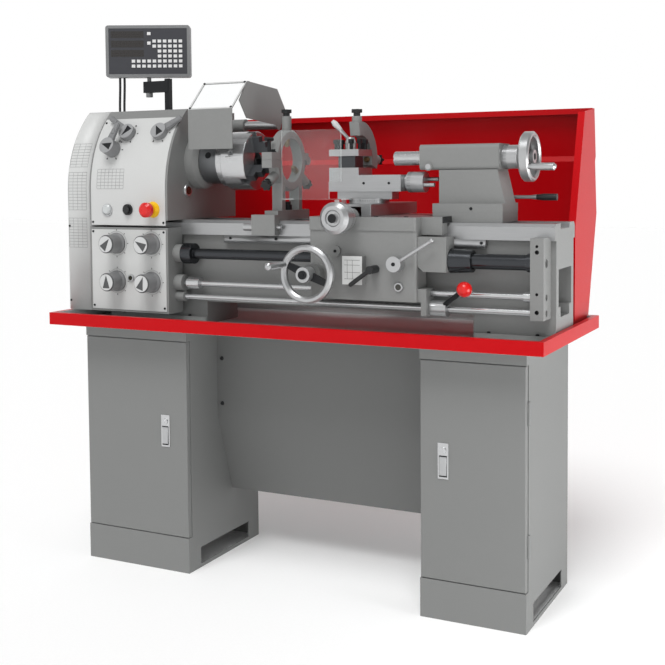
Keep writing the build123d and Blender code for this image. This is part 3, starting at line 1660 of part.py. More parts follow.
def tailstock_body():
    """Tailstock casting: foot, flared web and rounded barrel, bored for the quill."""
    body = block(tail_base_left, tail_base_right, -tail_base_half, tail_base_half, tail_base_top,
                 tail_foot_top)
    web = [
        (tail_web_left, tail_foot_top),
        (tail_web_right + tail_web_flare, tail_foot_top),
        (tail_web_right, tail_barrel_bottom),
        (tail_web_left, tail_barrel_bottom),
    ]
    body += prism_y(web, -tail_web_half, tail_web_half)
    barrel = block(tail_barrel_left, tail_barrel_right, -tail_barrel_half, tail_barrel_half,
                   tail_barrel_bottom,
                   tail_barrel_top)
    body += fillet(barrel.edges().filter_by(Axis.X), tail_barrel_round)
    body += bar_y(quill_lock_x, -tail_barrel_half - quill_lock_height, -tail_barrel_half,
                  axis_z - quill_lock_drop,
                  quill_lock_r)
    body -= bar_x(tail_barrel_left - overrun, quill_right + quill_socket_depth / 2, 0, axis_z,
                  quill_r + running_fit)
    return body - bar_x(tail_barrel_left, tail_barrel_right + overrun, 0, axis_z,
                        tail_shaft_r + running_fit)


def quill():
    """Quill with a tapered socket and a keyway along its front."""
    bar = bar_x(quill_left, quill_right, 0, axis_z, quill_r)
    socket = turned([(0, 0), (quill_socket_r, 0), (quill_socket_end_r, quill_socket_depth),
                     (0, quill_socket_depth)])
    bar -= along_x(socket, quill_left, 0, axis_z)
    bar -= block(quill_left - overrun, quill_right + overrun, -quill_r - overrun, quill_key_depth - quill_r,
                 axis_z - quill_key / 2, axis_z + quill_key / 2)
    return bar


def tail_handwheel():
    """Quill handwheel with its dial, shaft and crank handle."""
    start = tail_barrel_right + slip
    wheel = spoked_wheel(tail_wheel_r, tail_wheel_rim, tail_wheel_depth, tail_hub_r, tail_wheel_depth,
                         tail_wheel_spokes, tail_wheel_turn)
    turn = radians(tail_handle_turn)
    place = tail_wheel_r - tail_wheel_rim / 2
    handle = crank_handle(tail_handle_r, tail_handle_neck_r, tail_handle_length, tail_handle_neck)
    wheel = along_x(wheel, tail_wheel_x, 0, axis_z)
    wheel += along_x(handle, tail_wheel_x, place * cos(turn), axis_z + place * sin(turn))
    wheel += bar_x(start, start + tail_dial_length, 0, axis_z, tail_dial_r)
    wheel += bar_x(start, tail_wheel_x, 0, axis_z, tail_hub_r)
    return wheel + bar_x(tail_barrel_right - quill_socket_depth / 4, start, 0, axis_z, tail_shaft_r)


def tail_clamp_lever():
    """Clamp lever at the back of the tailstock, with a dark grip."""
    back = tail_web_half + slip
    hub = bar_y(tail_lever_x, back, back + tail_lever_hub_length, tail_lever_z, tail_lever_hub_r)
    y = back + tail_lever_hub_length / 2
    hub += bar_x(tail_lever_x, tail_lever_x + tail_lever_reach, y, tail_lever_z, tail_lever_rod_r)
    grip = turned([(0, 0), (tail_lever_rod_r, 0), (tail_grip_r, tail_grip_length / 2),
                   (tail_grip_r, tail_grip_length),
                   (0, tail_grip_length)])
    return hub + along_x(grip, tail_lever_x + tail_lever_reach, y, tail_lever_z)


def main_motor():
    """Finned motor on its foot behind the bed, with a terminal box and its shaft towards the drive."""
    body = bar_x(motor_left, motor_right, motor_y, motor_z, motor_r - motor_fin)
    fin_length = (motor_right - motor_left) * motor_fin_length_share
    middle = (motor_left + motor_right) / 2
    for fin in range(motor_fins):
        rib = Pos(middle, 0, motor_r - motor_fin) * Box(fin_length, motor_fin_width, 2 * motor_fin)
        body += Pos(0, motor_y, motor_z) * Rot(fin * 360 / motor_fins, 0, 0) * rib
    body += block(middle - motor_foot_length / 2, middle + motor_foot_length / 2,
                  motor_y - motor_foot_width / 2,
                  motor_y + motor_foot_width / 2, 0, motor_z - motor_r + 2 * motor_fin)
    body += block(middle - motor_box / 2, middle + motor_box / 2, motor_y - motor_box / 2,
                  motor_y + motor_box / 2,
                  motor_z + motor_r - 2 * motor_fin, motor_z + motor_r + motor_box_height)
    return body + bar_x(casting_left - seam, motor_left, motor_y, motor_z, motor_shaft_r)


def stand_pieces():
    """Every node of the stand with its solids, from the floor up."""
    return {
        "cabinets": [cabinet(left_cabinet_left, left_cabinet_right, left_cabinet_left),
                     cabinet(right_cabinet_left, right_cabinet_right, right_cabinet_right)],
        "left_door": [door(left_cabinet_left, left_cabinet_right, left_cabinet_left)],
        "right_door": [door(right_cabinet_left, right_cabinet_right, right_cabinet_right)],
        "stand_panel": [stand_panel()],
        "chip_tray": [chip_tray()],
    }


def machine_pieces():
    """Every node of the machine with its solids, from the tray's floor up."""
    jaws = {f"jaw_{n + 1}": [jaw(angle)] for n, angle in enumerate(jaw_places())}
    knobs = {f"gear_knob_{n + 1}": [gear_knob(*place, knob_pointers[n])]
             for n, place in enumerate(knob_places)}
    return {
        "splash_guard": [splash_guard()],
        "bed": [bed()],
        "gear_rack": [gear_rack()],
        "headstock_castings": [headstock_casting(), feed_gearbox()],
        "end_cover": [end_cover()],
        "front_panels": [upper_front_panel(), lower_front_panel()],
        "main_motor": [main_motor()],
        "spindle": [spindle()],
        "chuck": [chuck()],
        **jaws,
        "chuck_guard": [chuck_guard()],
        "switch_bezels": switch_bezels(),
        "start_button": [start_button()],
        "stop_button": [stop_button()],
        **knobs,
        "speed_lever_left": [panel_lever(speed_lever_left_x, speed_lever_z, speed_lever_left_reach,
                                         speed_lever_left_angle, lever_hub_height)],
        "speed_lever_right": [panel_lever(speed_lever_right_x, speed_lever_z, speed_lever_right_reach,
                                          speed_lever_right_angle, lever_hub_height)],
        "feed_reverse_lever": [panel_lever(reverse_lever_x, reverse_lever_z, reverse_lever_reach,
                                           reverse_lever_angle, reverse_hub_height)],
        "readout_post": [readout_post()],
        "readout_display": [readout_display()],
        "readout_cables": [readout_cable(0), readout_cable(1)],
        "lead_covers": lead_covers(),
        "lead_screw": [lead_screw()],
        "feed_rod": feed_rod(),
        "start_rod": [start_rod()],
        "rod_bracket": [rod_bracket()],
        "bed_stop": [bed_stop()],
        "saddle": [saddle()],
        "apron": [apron()],
        "lead_cup": [lead_cup()],
        "carriage_handwheel": [carriage_handwheel()],
        "half_nut_lever": [half_nut_lever()],
        "feed_lever": [feed_lever()],
        "start_lever": [start_lever()],
        "cross_slide": [cross_slide()],
        "cross_dial": [cross_dial()],
        "swivel_base": [swivel_base()],
        "top_slide": [top_slide()],
        "top_slide_dial": [top_slide_dial()],
        "tool_post": tool_post(),
        "tool_post_lever": [tool_post_lever()],
        "chip_shield": [chip_shield()],
        "follow_rest": [follow_rest()],
        "steady_base": [steady_base()],
        "steady_top": [steady_top()],
        "tailstock_base": [tailstock_base()],
        "tailstock_body": [tailstock_body()],
        "quill": [quill()],
        "tail_handwheel": [tail_handwheel()],
        "tail_clamp_lever": [tail_clamp_lever()],
    }


def pieces():
    """Every node with its solids in place."""
    placed = {}
    for group, lift in ((stand_pieces(), 0), (machine_pieces(), tray_floor)):
        for name, solids in group.items():
            placed[name] = [Pos(0, axis_y, lift) * solid for solid in solids]
    return placed


if __name__ == "__main__":
    os.makedirs("parts", exist_ok=True)
    for name, solids in pieces().items():
        whole = solids[0] if len(solids) == 1 else Compound(children=solids)
        export_step(whole, f"parts/{name}.step")
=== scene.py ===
"""Engine lathe with a digital readout, dressed over its CAD frame."""

import logging
from collections.abc import Callable, Sequence
from dataclasses import dataclass, field
from enum import Enum
from math import asin, cos, hypot, pi, radians, sin

import bmesh
import bpy
from mathutils import Matrix, Vector


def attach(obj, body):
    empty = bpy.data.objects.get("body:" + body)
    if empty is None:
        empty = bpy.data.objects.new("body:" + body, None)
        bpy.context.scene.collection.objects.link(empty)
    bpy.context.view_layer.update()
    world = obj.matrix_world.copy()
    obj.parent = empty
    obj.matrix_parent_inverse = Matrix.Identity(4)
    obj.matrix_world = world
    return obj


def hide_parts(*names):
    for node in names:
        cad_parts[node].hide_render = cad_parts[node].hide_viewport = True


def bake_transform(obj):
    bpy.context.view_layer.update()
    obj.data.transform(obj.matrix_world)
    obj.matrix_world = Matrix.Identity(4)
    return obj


log = logging.getLogger("lathe")
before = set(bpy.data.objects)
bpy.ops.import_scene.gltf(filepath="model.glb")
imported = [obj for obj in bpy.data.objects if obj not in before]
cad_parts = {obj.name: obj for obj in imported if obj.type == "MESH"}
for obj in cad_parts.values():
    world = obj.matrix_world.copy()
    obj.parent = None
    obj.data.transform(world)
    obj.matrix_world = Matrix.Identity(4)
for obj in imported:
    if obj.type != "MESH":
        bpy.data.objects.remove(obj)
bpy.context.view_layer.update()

# The machine's own frame: millimetres, with Y counted from the spindle axis.
MM = 1000
AXIS_Y = -32.0
AXIS_Z = 1117.0
FRONT_Y = -160.0
ARC_Y, ARC_Z, ARC_R = 141.0, 1037.0, 301.0
PROUD = 0.3

# Edges: radius of a machined edge and of sheet, in millimetres, steps of a round, and angles in degrees.
EDGE = 0.7
SHEET_EDGE = 0.5
EDGE_STEPS = 2
EDGE_ANGLE = 32
SHARP_ANGLE = 40
SMOOTH_ANGLE = 35
WELD = 1e-6
HEXAGON = 6

# How far a face may lie from a stated place, and how square it is to a direction.
PLAY = 0.5
SLOPING = 0.5
FACING = 0.9
SQUARE = 0.95

# Screw heads: number of sides, and shares of their radius and height.
SCREW_SIDES = 12
SCREW_TOP_SHARE = 0.94
SOCKET_SHARE = 0.45
SOCKET_LIP_SHARE = 0.02
SOCKET_DEPTH_SHARE = 0.6

FRONT = Vector((0.0, -1.0, 0.0))
BACK = Vector((0.0, 1.0, 0.0))
RIGHT = Vector((1.0, 0.0, 0.0))
UP = Vector((0.0, 0.0, 1.0))
ORIGIN = Vector((0.0, 0.0, 0.0))


def at(x: float, y: float, z: float) -> Vector:
    """Point of the machine's own frame, in metres of the row frame."""
    return Vector((x, y + AXIS_Y, z)) / MM


def mm(point: Vector) -> Vector:
    """Point of the row frame, in millimetres of the machine's own frame."""
    return point * MM - Vector((0.0, AXIS_Y, 0.0))


def axis_distance(point: Vector) -> float:
    """Distance of a point of the machine's own frame from the spindle axis."""
    return hypot(point.y, point.z - AXIS_Z)


def linear(colour: str) -> tuple[float, float, float, float]:
    """Linear colour of an sRGB hex value."""
    parts = [int(colour[place:place + 2], 16) / 255 for place in (1, 3, 5)]
    return (*[c / 12.92 if c <= 0.04045 else ((c + 0.055) / 1.055) ** 2.4 for c in parts], 1.0)


def add(tree: bpy.types.NodeTree, kind: str, links: dict | None = None, **values: object) -> bpy.types.Node:
    """Adds a node with its settings and links.

    Args:
        tree: The node tree that takes the node.
        kind: Blender's name of the node type.
        links: Input name or place to the output socket that feeds it.
        **values: Input values, by name with _ for a space, or else properties of the node.

    Returns:
        The new node.
    """
    node = tree.nodes.new(kind)
    for name, value in values.items():
        label = name.replace("_", " ")
        if hasattr(node, name):
            setattr(node, name, value)
        else:
            node.inputs[label].default_value = value
    for name, socket in (links or {}).items():
        tree.links.new(socket, node.inputs[name])
    return node


@dataclass(frozen=True)
class Grain:
    """Marks that a way of making leaves: size along each axis in millimetres, and how strongly they show."""

    size: tuple[float, float, float]
    bump: float
    gloss: float
    tone: float


class Texture(Enum):
    """How a surface was made. Marks finer than about 1 mm are drawn 1 mm wide, so that they show."""

    SHEET = Grain((7.0, 7.0, 7.0), 0.03, 0.05, 0.025)
    POWDER = Grain((1.4, 1.4, 1.4), 0.10, 0.07, 0.05)
    CAST = Grain((9.0, 9.0, 9.0), 0.10, 0.07, 0.04)
    GROUND_X = Grain((55.0, 1.05, 1.05), 0.06, 0.08, 0.10)
    GROUND_Y = Grain((1.05, 55.0, 1.05), 0.06, 0.08, 0.10)
    TURNED = Grain((1.0, 70.0, 70.0), 0.05, 0.07, 0.08)
    MOULDED = Grain((1.1, 1.1, 1.1), 0.05, 0.06, 0.05)
    POLISHED = Grain((24.0, 24.0, 24.0), 0.0, 0.05, 0.02)
    PRINTED = Grain((3.0, 3.0, 3.0), 0.0, 0.05, 0.04)


@dataclass(frozen=True)
class Finish:
    """One real surface, as a material."""

    name: str
    colour: str
    roughness: float
    texture: Texture
    metallic: float = 0.0
    coat: float = 0.0
    specular: float = 0.5
    alpha: float = 1.0
    slot: str = "machine_paint"
    coat_roughness: float = 0.12
    least_roughness: float = 0.02
    grain_detail: float = 3.0
    bump_depth: float = 0.001

    def material(self) -> bpy.types.Material:
        """The finish's material, made once.

        Returns:
            Material with procedural grain on object coordinates.
        """
        made = bpy.data.materials.get(self.name)
        if made is not None:
            return made
        made = bpy.data.materials.new(self.name)
        made.use_nodes = True
        made.diffuse_color = linear(self.colour)
        shader = made.node_tree.nodes["Principled BSDF"]
        for name, value in (
            ("Metallic", self.metallic),
            ("Coat Weight", self.coat),
            ("Coat Roughness", self.coat_roughness),
            ("Specular IOR Level", self.specular),
            ("Alpha", self.alpha),
        ):
            shader.inputs[name].default_value = value
        self._grain(made.node_tree, shader)
        return made

    def _grain(self, tree: bpy.types.NodeTree, shader: bpy.types.Node) -> None:
        """Adds the marks of the surface: bump, and a little change of gloss and tone.

        Args:
            tree: The material's node tree.
            shader: Its shader node.
        """
        grain = self.texture.value
        place = add(tree, "ShaderNodeTexCoord")
        scale = add(tree, "ShaderNodeMapping", {"Vector": place.outputs["Object"]})
        scale.inputs["Scale"].default_value = [MM / size for size in grain.size]
        noise = add(tree, "ShaderNodeTexNoise", {"Vector": scale.outputs["Vector"]}, Scale=1.0,
                    Detail=self.grain_detail)
        gloss = add(tree, "ShaderNodeMapRange", {"Value": noise.outputs[0]})
        gloss.inputs["To Min"].default_value = max(self.roughness - grain.gloss, self.least_roughness)
        gloss.inputs["To Max"].default_value = min(self.roughness + grain.gloss, 1.0)
        tone = add(tree, "ShaderNodeMix", {"Factor": noise.outputs[0]}, data_type="RGBA")
        for socket, share in ((6, 1 - grain.tone), (7, 1 + grain.tone)):
            parts = [min(c * share, 1.0) for c in linear(self.colour)[:3]]
            tone.inputs[socket].default_value = (*parts, 1.0)
        tree.links.new(tone.outputs[2], shader.inputs["Base Color"])
        tree.links.new(gloss.outputs["Result"], shader.inputs["Roughness"])
        if grain.bump:
            bump = add(tree, "ShaderNodeBump", {"Height": noise.outputs[0]}, Strength=grain.bump,
                       Distance=self.bump_depth)
            tree.links.new(bump.outputs["Normal"], shader.inputs["Normal"])


# Grey enamel over filled castings: even, slightly wavy, with a soft sheen.
CASTING = Finish("grey_enamel_casting", "#7E7F7E", 0.45, Texture.CAST, coat=0.08, specular=0.4)
# The same enamel, lighter, on folded sheet: smooth, with a faint ripple.
SHEET = Finish("light_enamel_sheet", "#C4C5C4", 0.42, Texture.SHEET, coat=0.08, specular=0.4)
# Screen-printed aluminium faceplate: pale, even and half matt.
FACEPLATE = Finish("printed_faceplate", "#C1C2C1", 0.5, Texture.PRINTED, specular=0.35, slot="faceplate")
# Powder-coated stand: mid grey with a fine bead that takes the edge off highlights.
STAND = Finish("grey_powder_coat", "#787978", 0.55, Texture.POWDER, specular=0.35, slot="stand_paint")
# The centre panel: the stand's powder coat, painted darker as the shade of its recess under the tray.
PANEL_PAINTED_SHADE = Finish("panel_coat_painted_shade", "#6C6D6C", 0.55, Texture.POWDER, specular=0.35, slot="panel_paint")
# Gloss red enamel on sheet: deep colour, with a highlight only where it faces a light.
RED = Finish("red_gloss_enamel", "#B6000A", 0.36, Texture.SHEET, specular=0.14, slot="red_paint")
TRAY_INSIDE = Finish("tray_grey_enamel", "#D2D3D3", 0.45, Texture.SHEET, specular=0.4, slot="red_paint")
# Ground ways and slides: bright, with fine marks along the travel that spread the highlight across them.
GROUND = Finish("ground_steel_ways", "#AAABAC", 0.34, Texture.GROUND_X, 0.85, slot="ground_steel")
GROUND_ACROSS = Finish("ground_steel_slide", "#A3A4A5", 0.36, Texture.GROUND_Y, 0.8, slot="ground_steel")
# Turned steel: fine rings round the axis, bright in bands.
TURNED = Finish("turned_steel", "#C6C7C8", 0.24, Texture.TURNED, 0.9, slot="ground_steel")
# Hardened steel under oil: dark grey and dull. Inside the tool post's slot the same dark grey is painted
# shade.
DARK_STEEL = Finish("oiled_dark_steel", "#4E5053", 0.42, Texture.TURNED, 0.75, slot="dark_steel")
# Chemically blacked screws and rods: near black, half matt. The same black is painted shade in the latches'
# recesses and inside the rod bracket's screw holes.
BLACKED = Finish("blacked_steel", "#242527", 0.48, Texture.MOULDED, 0.5, specular=0.35, slot="dark_steel")
# Blued spring steel of the lead screw's covers: dark, with a soft bright line along the top.
BLUED = Finish("blued_spring_steel", "#434548", 0.24, Texture.POLISHED, 0.9, slot="dark_steel")
# Chromed steel: mirror bright, a little hazed by handling.
CHROME = Finish("polished_chrome", "#C6C7C8", 0.16, Texture.POLISHED, 1.0, slot="bright_steel")
SATIN = Finish("satin_chrome", "#B4B5B6", 0.3, Texture.POLISHED, 0.8, slot="bright_steel")
# Bronze finger pads: dull brown.
BRONZE = Finish("turned_bronze_pad", "#8B7654", 0.38, Texture.TURNED, 0.9, slot="bright_steel")
# Moulded grips, knobs and caps: fine spark-eroded grain, half matt.
BLACK = Finish("black_phenolic_moulding", "#1D1E1F", 0.42, Texture.MOULDED, specular=0.4,
               slot="black_plastic")
GREY = Finish("grey_nylon_moulding", "#78797A", 0.45, Texture.MOULDED, specular=0.4, slot="grey_plastic")
RIM = Finish("dark_grey_moulding", "#4A4B4C", 0.45, Texture.MOULDED, specular=0.4, slot="grey_plastic")
PALE = Finish("pale_knob_insert", "#BFC0C0", 0.45, Texture.PRINTED, specular=0.4, slot="grey_plastic")
# Keypad film, smoked window and rubber keys of the readout.
SCREEN = Finish("dark_keypad_film", "#2E2F35", 0.35, Texture.PRINTED, coat=0.15, slot="grey_plastic")
WINDOW = Finish("smoked_display_window", "#120F0C", 0.14, Texture.POLISHED, coat=0.4, slot="grey_plastic")
SEGMENT = Finish("unlit_display_segment", "#241A19", 0.4, Texture.PRINTED, slot="grey_plastic")
KEY = Finish("white_rubber_key", "#DADADA", 0.55, Texture.MOULDED, slot="grey_plastic")
# Frosted lamp lens: milky, with a sharp small highlight.
LENS = Finish("frosted_lamp_lens", "#B9BDBD", 0.25, Texture.POLISHED, coat=0.4, slot="switch_trim")
YELLOW = Finish("yellow_moulding", "#E9B400", 0.4, Texture.MOULDED, specular=0.4, slot="switch_trim")
RED_GRIP = Finish("red_moulding", "#CC1210", 0.28, Texture.MOULDED, coat=0.2, specular=0.4,
                  slot="red_plastic")
# Clear acrylic: seen only by its edges and reflections.
CLEAR = Finish("clear_acrylic_sheet", "#E4EDED", 0.06, Texture.POLISHED, alpha=0.05, slot="clear")
# Its sawn edges catch the light.
CLEAR_EDGE = Finish("clear_acrylic_edge", "#EEF5F5", 0.25, Texture.POLISHED, alpha=0.6, slot="clear")
# Flange of the spindle's nose: turned steel, darker grey than the spindle.
FLANGE = Finish("grey_turned_steel", "#747678", 0.36, Texture.TURNED, 0.85, slot="ground_steel")
LIGHT_GREY = Finish("light_grey_moulding", "#929394", 0.42, Texture.MOULDED, specular=0.4,
                    slot="grey_plastic")
RUBBER = Finish("cable_jacket", "#2A2B2C", 0.6, Texture.MOULDED, slot="rubber")
INK = Finish("printed_ink", "#3B3C3D", 0.6, Texture.PRINTED, specular=0.3, slot="faceplate")
FAINT = Finish("pale_printed_ink", "#8A8B8C", 0.6, Texture.PRINTED, specular=0.3, slot="faceplate")
MOTOR = Finish("motor_enamel", "#4C5156", 0.48, Texture.CAST, slot="motor_paint")
# Sight glass over oil: dark and mirror smooth.
GLASS = Finish("oil_sight_glass", "#2B2A22", 0.1, Texture.POLISHED, coat=0.3, slot="grey_plastic")
# Painted studio floor: pale and matt.
FLOOR = Finish("pale_floor", "#FBFBFB", 0.9, Texture.SHEET, specular=0.1)

Test = Callable[[Vector, Vector], bool]


@dataclass(frozen=True)
class Zone:
    """Faces of a node that take another finish: a test of face centre, in machine millimetres, and normal."""

    finish: Finish
    test: Test


def dress(node: str, finish: Finish, *zones: Zone, edge: float = EDGE) -> None:
    """Gives a CAD node its finishes and rounds its edges.

    Args:
        node: Name of the CAD node.
        finish: Finish of the faces that no zone takes.
        *zones: Zones, the last of which wins.
        edge: Radius of its edges in millimetres, or 0 for none.
    """
    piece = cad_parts[node]
    mesh = piece.data
    mesh.materials.clear()
    for one in (finish, *[zone.finish for zone in zones]):
        mesh.materials.append(one.material())
    index = [0] * len(mesh.polygons)
    for face in mesh.polygons:
        for place, zone in enumerate(zones, 1):
            if zone.test(mm(face.center), face.normal):
                index[face.index] = place
    mesh.polygons.foreach_set("material_index", index)
    mesh.polygons.foreach_set("use_smooth", [True] * len(mesh.polygons))
    if "custom_normal" in mesh.attributes:
        mesh.attributes.remove(mesh.attributes["custom_normal"])
    weld = piece.modifiers.new("weld", "WELD")
    weld.merge_threshold = WELD
    if edge:
        bevel = piece.modifiers.new("edges", "BEVEL")
        bevel.width = edge / MM
        bevel.segments = EDGE_STEPS
        bevel.limit_method = "ANGLE"
        bevel.angle_limit = radians(EDGE_ANGLE)
        bevel.harden_normals = True
    log.info("dressed %s", node)


@dataclass
class Shape:
    """A mesh being built from simple solids, in the machine's own frame."""

    bm: bmesh.types.BMesh = field(default_factory=bmesh.new)

    def block(self, x0: float, x1: float, y0: float, y1: float, z0: float, z1: float) -> "Shape":
        """Adds a block between two corners.

        Args:
            x0: Left side in millimetres, and so on for the others.
            x1: Right side.
            y0: Front.
            y1: Back.
            z0: Bottom.
            z1: Top.

        Returns:
            This shape.
        """
        return self.box(at(x0, y0, z0), at(x1, y1, z1))

    def box(self, low: Vector, high: Vector) -> "Shape":
        """Adds a block between two corners.

        Args:
            low: Lowest corner in metres.
            high: Highest corner.

        Returns:
            This shape.
        """
        size = Matrix.Diagonal((*(high - low), 1.0))
        bmesh.ops.create_cube(self.bm, size=1.0, matrix=Matrix.Translation((low + high) / 2) @ size)
        return self

    def disc(self, foot: Vector, axis: Vector, r: float, height: float, top_r: float | None = None,
             sides: int = 32) -> "Shape":
        """Adds a round or many-sided boss.

        Args:
            foot: Middle of its foot, in metres of the row frame.
            axis: Direction from foot to top.
            r: Radius of the foot in millimetres.
            height: Height in millimetres.
            top_r: Radius of the top, if it differs.
            sides: Number of sides.

        Returns:
            This shape.
        """
        turn = axis.to_track_quat("Z", "Y").to_matrix().to_4x4()
        middle = Matrix.Translation(foot + axis.normalized() * height / 2 / MM) @ turn
        top = r if top_r is None else top_r
        bmesh.ops.create_cone(self.bm, cap_ends=True, segments=sides, radius1=r / MM, radius2=top / MM,
                              depth=height / MM, matrix=middle)
        return self

    def strip(self, points: Sequence[Vector], across: Vector, width: float) -> "Shape":
        """Adds a flat printed strip along points.

        Args:
            points: Middle of the strip, in metres.
            across: Direction of its width.
            width: Width in millimetres.

        Returns:
            This shape.
        """
        half = across.normalized() * width / 2 / MM
        rows = [(self.bm.verts.new(p - half), self.bm.verts.new(p + half)) for p in points]
        for a, b in zip(rows, rows[1:]):
            self.bm.faces.new((a[0], b[0], b[1], a[1]))
        return self

    def ring(self, foot: Vector, axis: Vector, inner: float, outer: float, height: float,
             sides: int = 40) -> "Shape":
        """Adds a flat ring.

        Args:
            foot: Middle of its foot, in metres of the row frame.
            axis: Direction from foot to top.
            inner: Inner radius in millimetres.
            outer: Outer radius.
            height: Height in millimetres.
            sides: Number of sides.

        Returns:
            This shape.
        """
        turn = Matrix.Translation(foot) @ axis.to_track_quat("Z", "Y").to_matrix().to_4x4()
        loops = []
        for step in range(sides):
            way = Vector((cos(2 * pi * step / sides), sin(2 * pi * step / sides), 0.0))
            corners = ((inner, 0.0), (outer, 0.0), (outer, height), (inner, height))
            loops.append([self.bm.verts.new(turn @ ((way * r + UP * h) / MM)) for r, h in corners])
        for a, b in zip(loops, loops[1:] + loops[:1]):
            for k, corner in enumerate(a):
                after = (k + 1) % len(a)
                self.bm.faces.new((corner, b[k], b[after], a[after]))
        return self

    def done(self, name: str, finish: Finish, body: str, edge: float = 0.0,
             move: Matrix | None = None) -> bpy.types.Object:
        """Ends the mesh as a piece that rides on a body.

        Args:
            name: Name of the piece.
            finish: Its finish.
            body: The body it moves with.
            edge: Radius of its edges in millimetres, or 0 for none.
            move: A last move of the whole mesh.

        Returns:
            The piece.
        """
        if move is not None:
            bmesh.ops.transform(self.bm, matrix=move, verts=self.bm.verts)
        if edge:
            limit = radians(SHARP_ANGLE)
            sharp = [e for e in self.bm.edges if e.is_manifold and e.calc_face_angle(0.0) > limit]
            bmesh.ops.bevel(self.bm, geom=sharp, offset=edge / MM, segments=EDGE_STEPS, affect="EDGES",
                            profile=0.5, clamp_overlap=True)
        mesh = bpy.data.meshes.new(name)
        self.bm.to_mesh(mesh)
        self.bm.free()
        return finish_piece(name, mesh, finish, body)


def finish_piece(name: str, mesh: bpy.types.Mesh, finish: Finish, body: str) -> bpy.types.Object:
    """Makes a mesh a piece with its finish and body.

    Args:
        name: Name of the piece.
        mesh: Its mesh, in the row frame.
        finish: Its finish.
        body: The body it moves with.

    Returns:
        The piece.
    """
    mesh.materials.clear()
    mesh.materials.append(finish.material())
    mesh.polygons.foreach_set("use_smooth", [True] * len(mesh.polygons))
    mesh.set_sharp_from_angle(angle=radians(SMOOTH_ANGLE))
    piece = bpy.data.objects.new(name, mesh)
    bpy.context.scene.collection.objects.link(piece)
    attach(piece, body)
    log.info("made %s", name)
    return piece


def marks_tree() -> bpy.types.NodeTree:
    """Tree of marks on a ring: blocks set round a circle, each turned with its place.

    Returns:
        Node group with the inputs Count, Radius, Size and Finish.
    """
    made = bpy.data.node_groups.get("marks_round_a_ring")
    if made is not None:
        return made
    tree = bpy.data.node_groups.new("marks_round_a_ring", "GeometryNodeTree")
    for name, kind in (("Count", "NodeSocketInt"), ("Radius", "NodeSocketFloat"),
                       ("Size", "NodeSocketVector"),
                       ("Finish", "NodeSocketMaterial")):
        tree.interface.new_socket(name, in_out="INPUT", socket_type=kind)
    tree.interface.new_socket("Geometry", in_out="OUTPUT", socket_type="NodeSocketGeometry")
    given = add(tree, "NodeGroupInput").outputs
    ring = add(tree, "GeometryNodeMeshCircle", {"Vertices": given["Count"], "Radius": given["Radius"]})
    mark = add(tree, "GeometryNodeMeshCube", {"Size": given["Size"]})
    step = add(tree, "ShaderNodeMath", {1: given["Count"]}, operation="DIVIDE")
    step.inputs[0].default_value = 2 * pi
    index = add(tree, "GeometryNodeInputIndex")
    turn = add(tree, "ShaderNodeMath", {0: index.outputs[0], 1: step.outputs[0]},
               operation="MULTIPLY")
    angle = add(tree, "ShaderNodeCombineXYZ", {"Z": turn.outputs[0]})
    placed = add(tree, "GeometryNodeInstanceOnPoints",
                 {"Points": ring.outputs["Mesh"], "Instance": mark.outputs["Mesh"],
                  "Rotation": angle.outputs["Vector"]})
    real = add(tree, "GeometryNodeRealizeInstances", {"Geometry": placed.outputs["Instances"]})
    painted = add(tree, "GeometryNodeSetMaterial", {"Geometry": real.outputs[0], "Material": given["Finish"]})
    add(tree, "NodeGroupOutput", {"Geometry": painted.outputs["Geometry"]})
    return tree


def points_tree() -> bpy.types.NodeTree:
    """Tree of equal small parts on points: keys or screw heads.

    Returns:
        Node group with the inputs Geometry, Part and Finish.
    """
    made = bpy.data.node_groups.get("parts_on_points")
    if made is not None:
        return made
    tree = bpy.data.node_groups.new("parts_on_points", "GeometryNodeTree")
    for name, kind in (("Geometry", "NodeSocketGeometry"), ("Part", "NodeSocketObject"),
                       ("Finish", "NodeSocketMaterial")):
        tree.interface.new_socket(name, in_out="INPUT", socket_type=kind)
    tree.interface.new_socket("Geometry", in_out="OUTPUT", socket_type="NodeSocketGeometry")
    given = add(tree, "NodeGroupInput").outputs
    part = add(tree, "GeometryNodeObjectInfo", {"Object": given["Part"]})
    placed = add(tree, "GeometryNodeInstanceOnPoints",
                 {"Points": given["Geometry"], "Instance": part.outputs["Geometry"]})
    real = add(tree, "GeometryNodeRealizeInstances", {"Geometry": placed.outputs["Instances"]})
    painted = add(tree, "GeometryNodeSetMaterial", {"Geometry": real.outputs[0], "Material": given["Finish"]})
    add(tree, "NodeGroupOutput", {"Geometry": painted.outputs["Geometry"]})
    return tree


def from_tree(name: str, tree: bpy.types.NodeTree, start: bpy.types.Mesh, inputs: dict[str, object],
              move: Matrix, finish: Finish, body: str) -> bpy.types.Object:
    """Runs a geometry tree once and keeps its result as a plain piece.

    Args:
        name: Name of the piece.
        tree: The geometry tree.
        start: Mesh that the tree starts from.
        inputs: Input name to value.
        move: Where the result goes.
        finish: Its finish.
        body: The body it moves with.

    Returns:
        The piece.
    """
    maker = bpy.data.objects.new(name + "_maker", start)
    bpy.context.scene.collection.objects.link(maker)
    modifier = maker.modifiers.new("repeat", "NODES")
    modifier.node_group = tree
    for item in tree.interface.items_tree:
        if item.in_out == "INPUT" and item.name in inputs:
            modifier[item.identifier] = inputs[item.name]
    bpy.context.view_layer.update()
    ready = maker.evaluated_get(bpy.context.evaluated_depsgraph_get())
    mesh = bpy.data.meshes.new_from_object(ready)
    maker.modifiers.clear()
    bpy.data.objects.remove(maker)
    mesh.name = name
    mesh.transform(move)
    return finish_piece(name, mesh, finish, body)


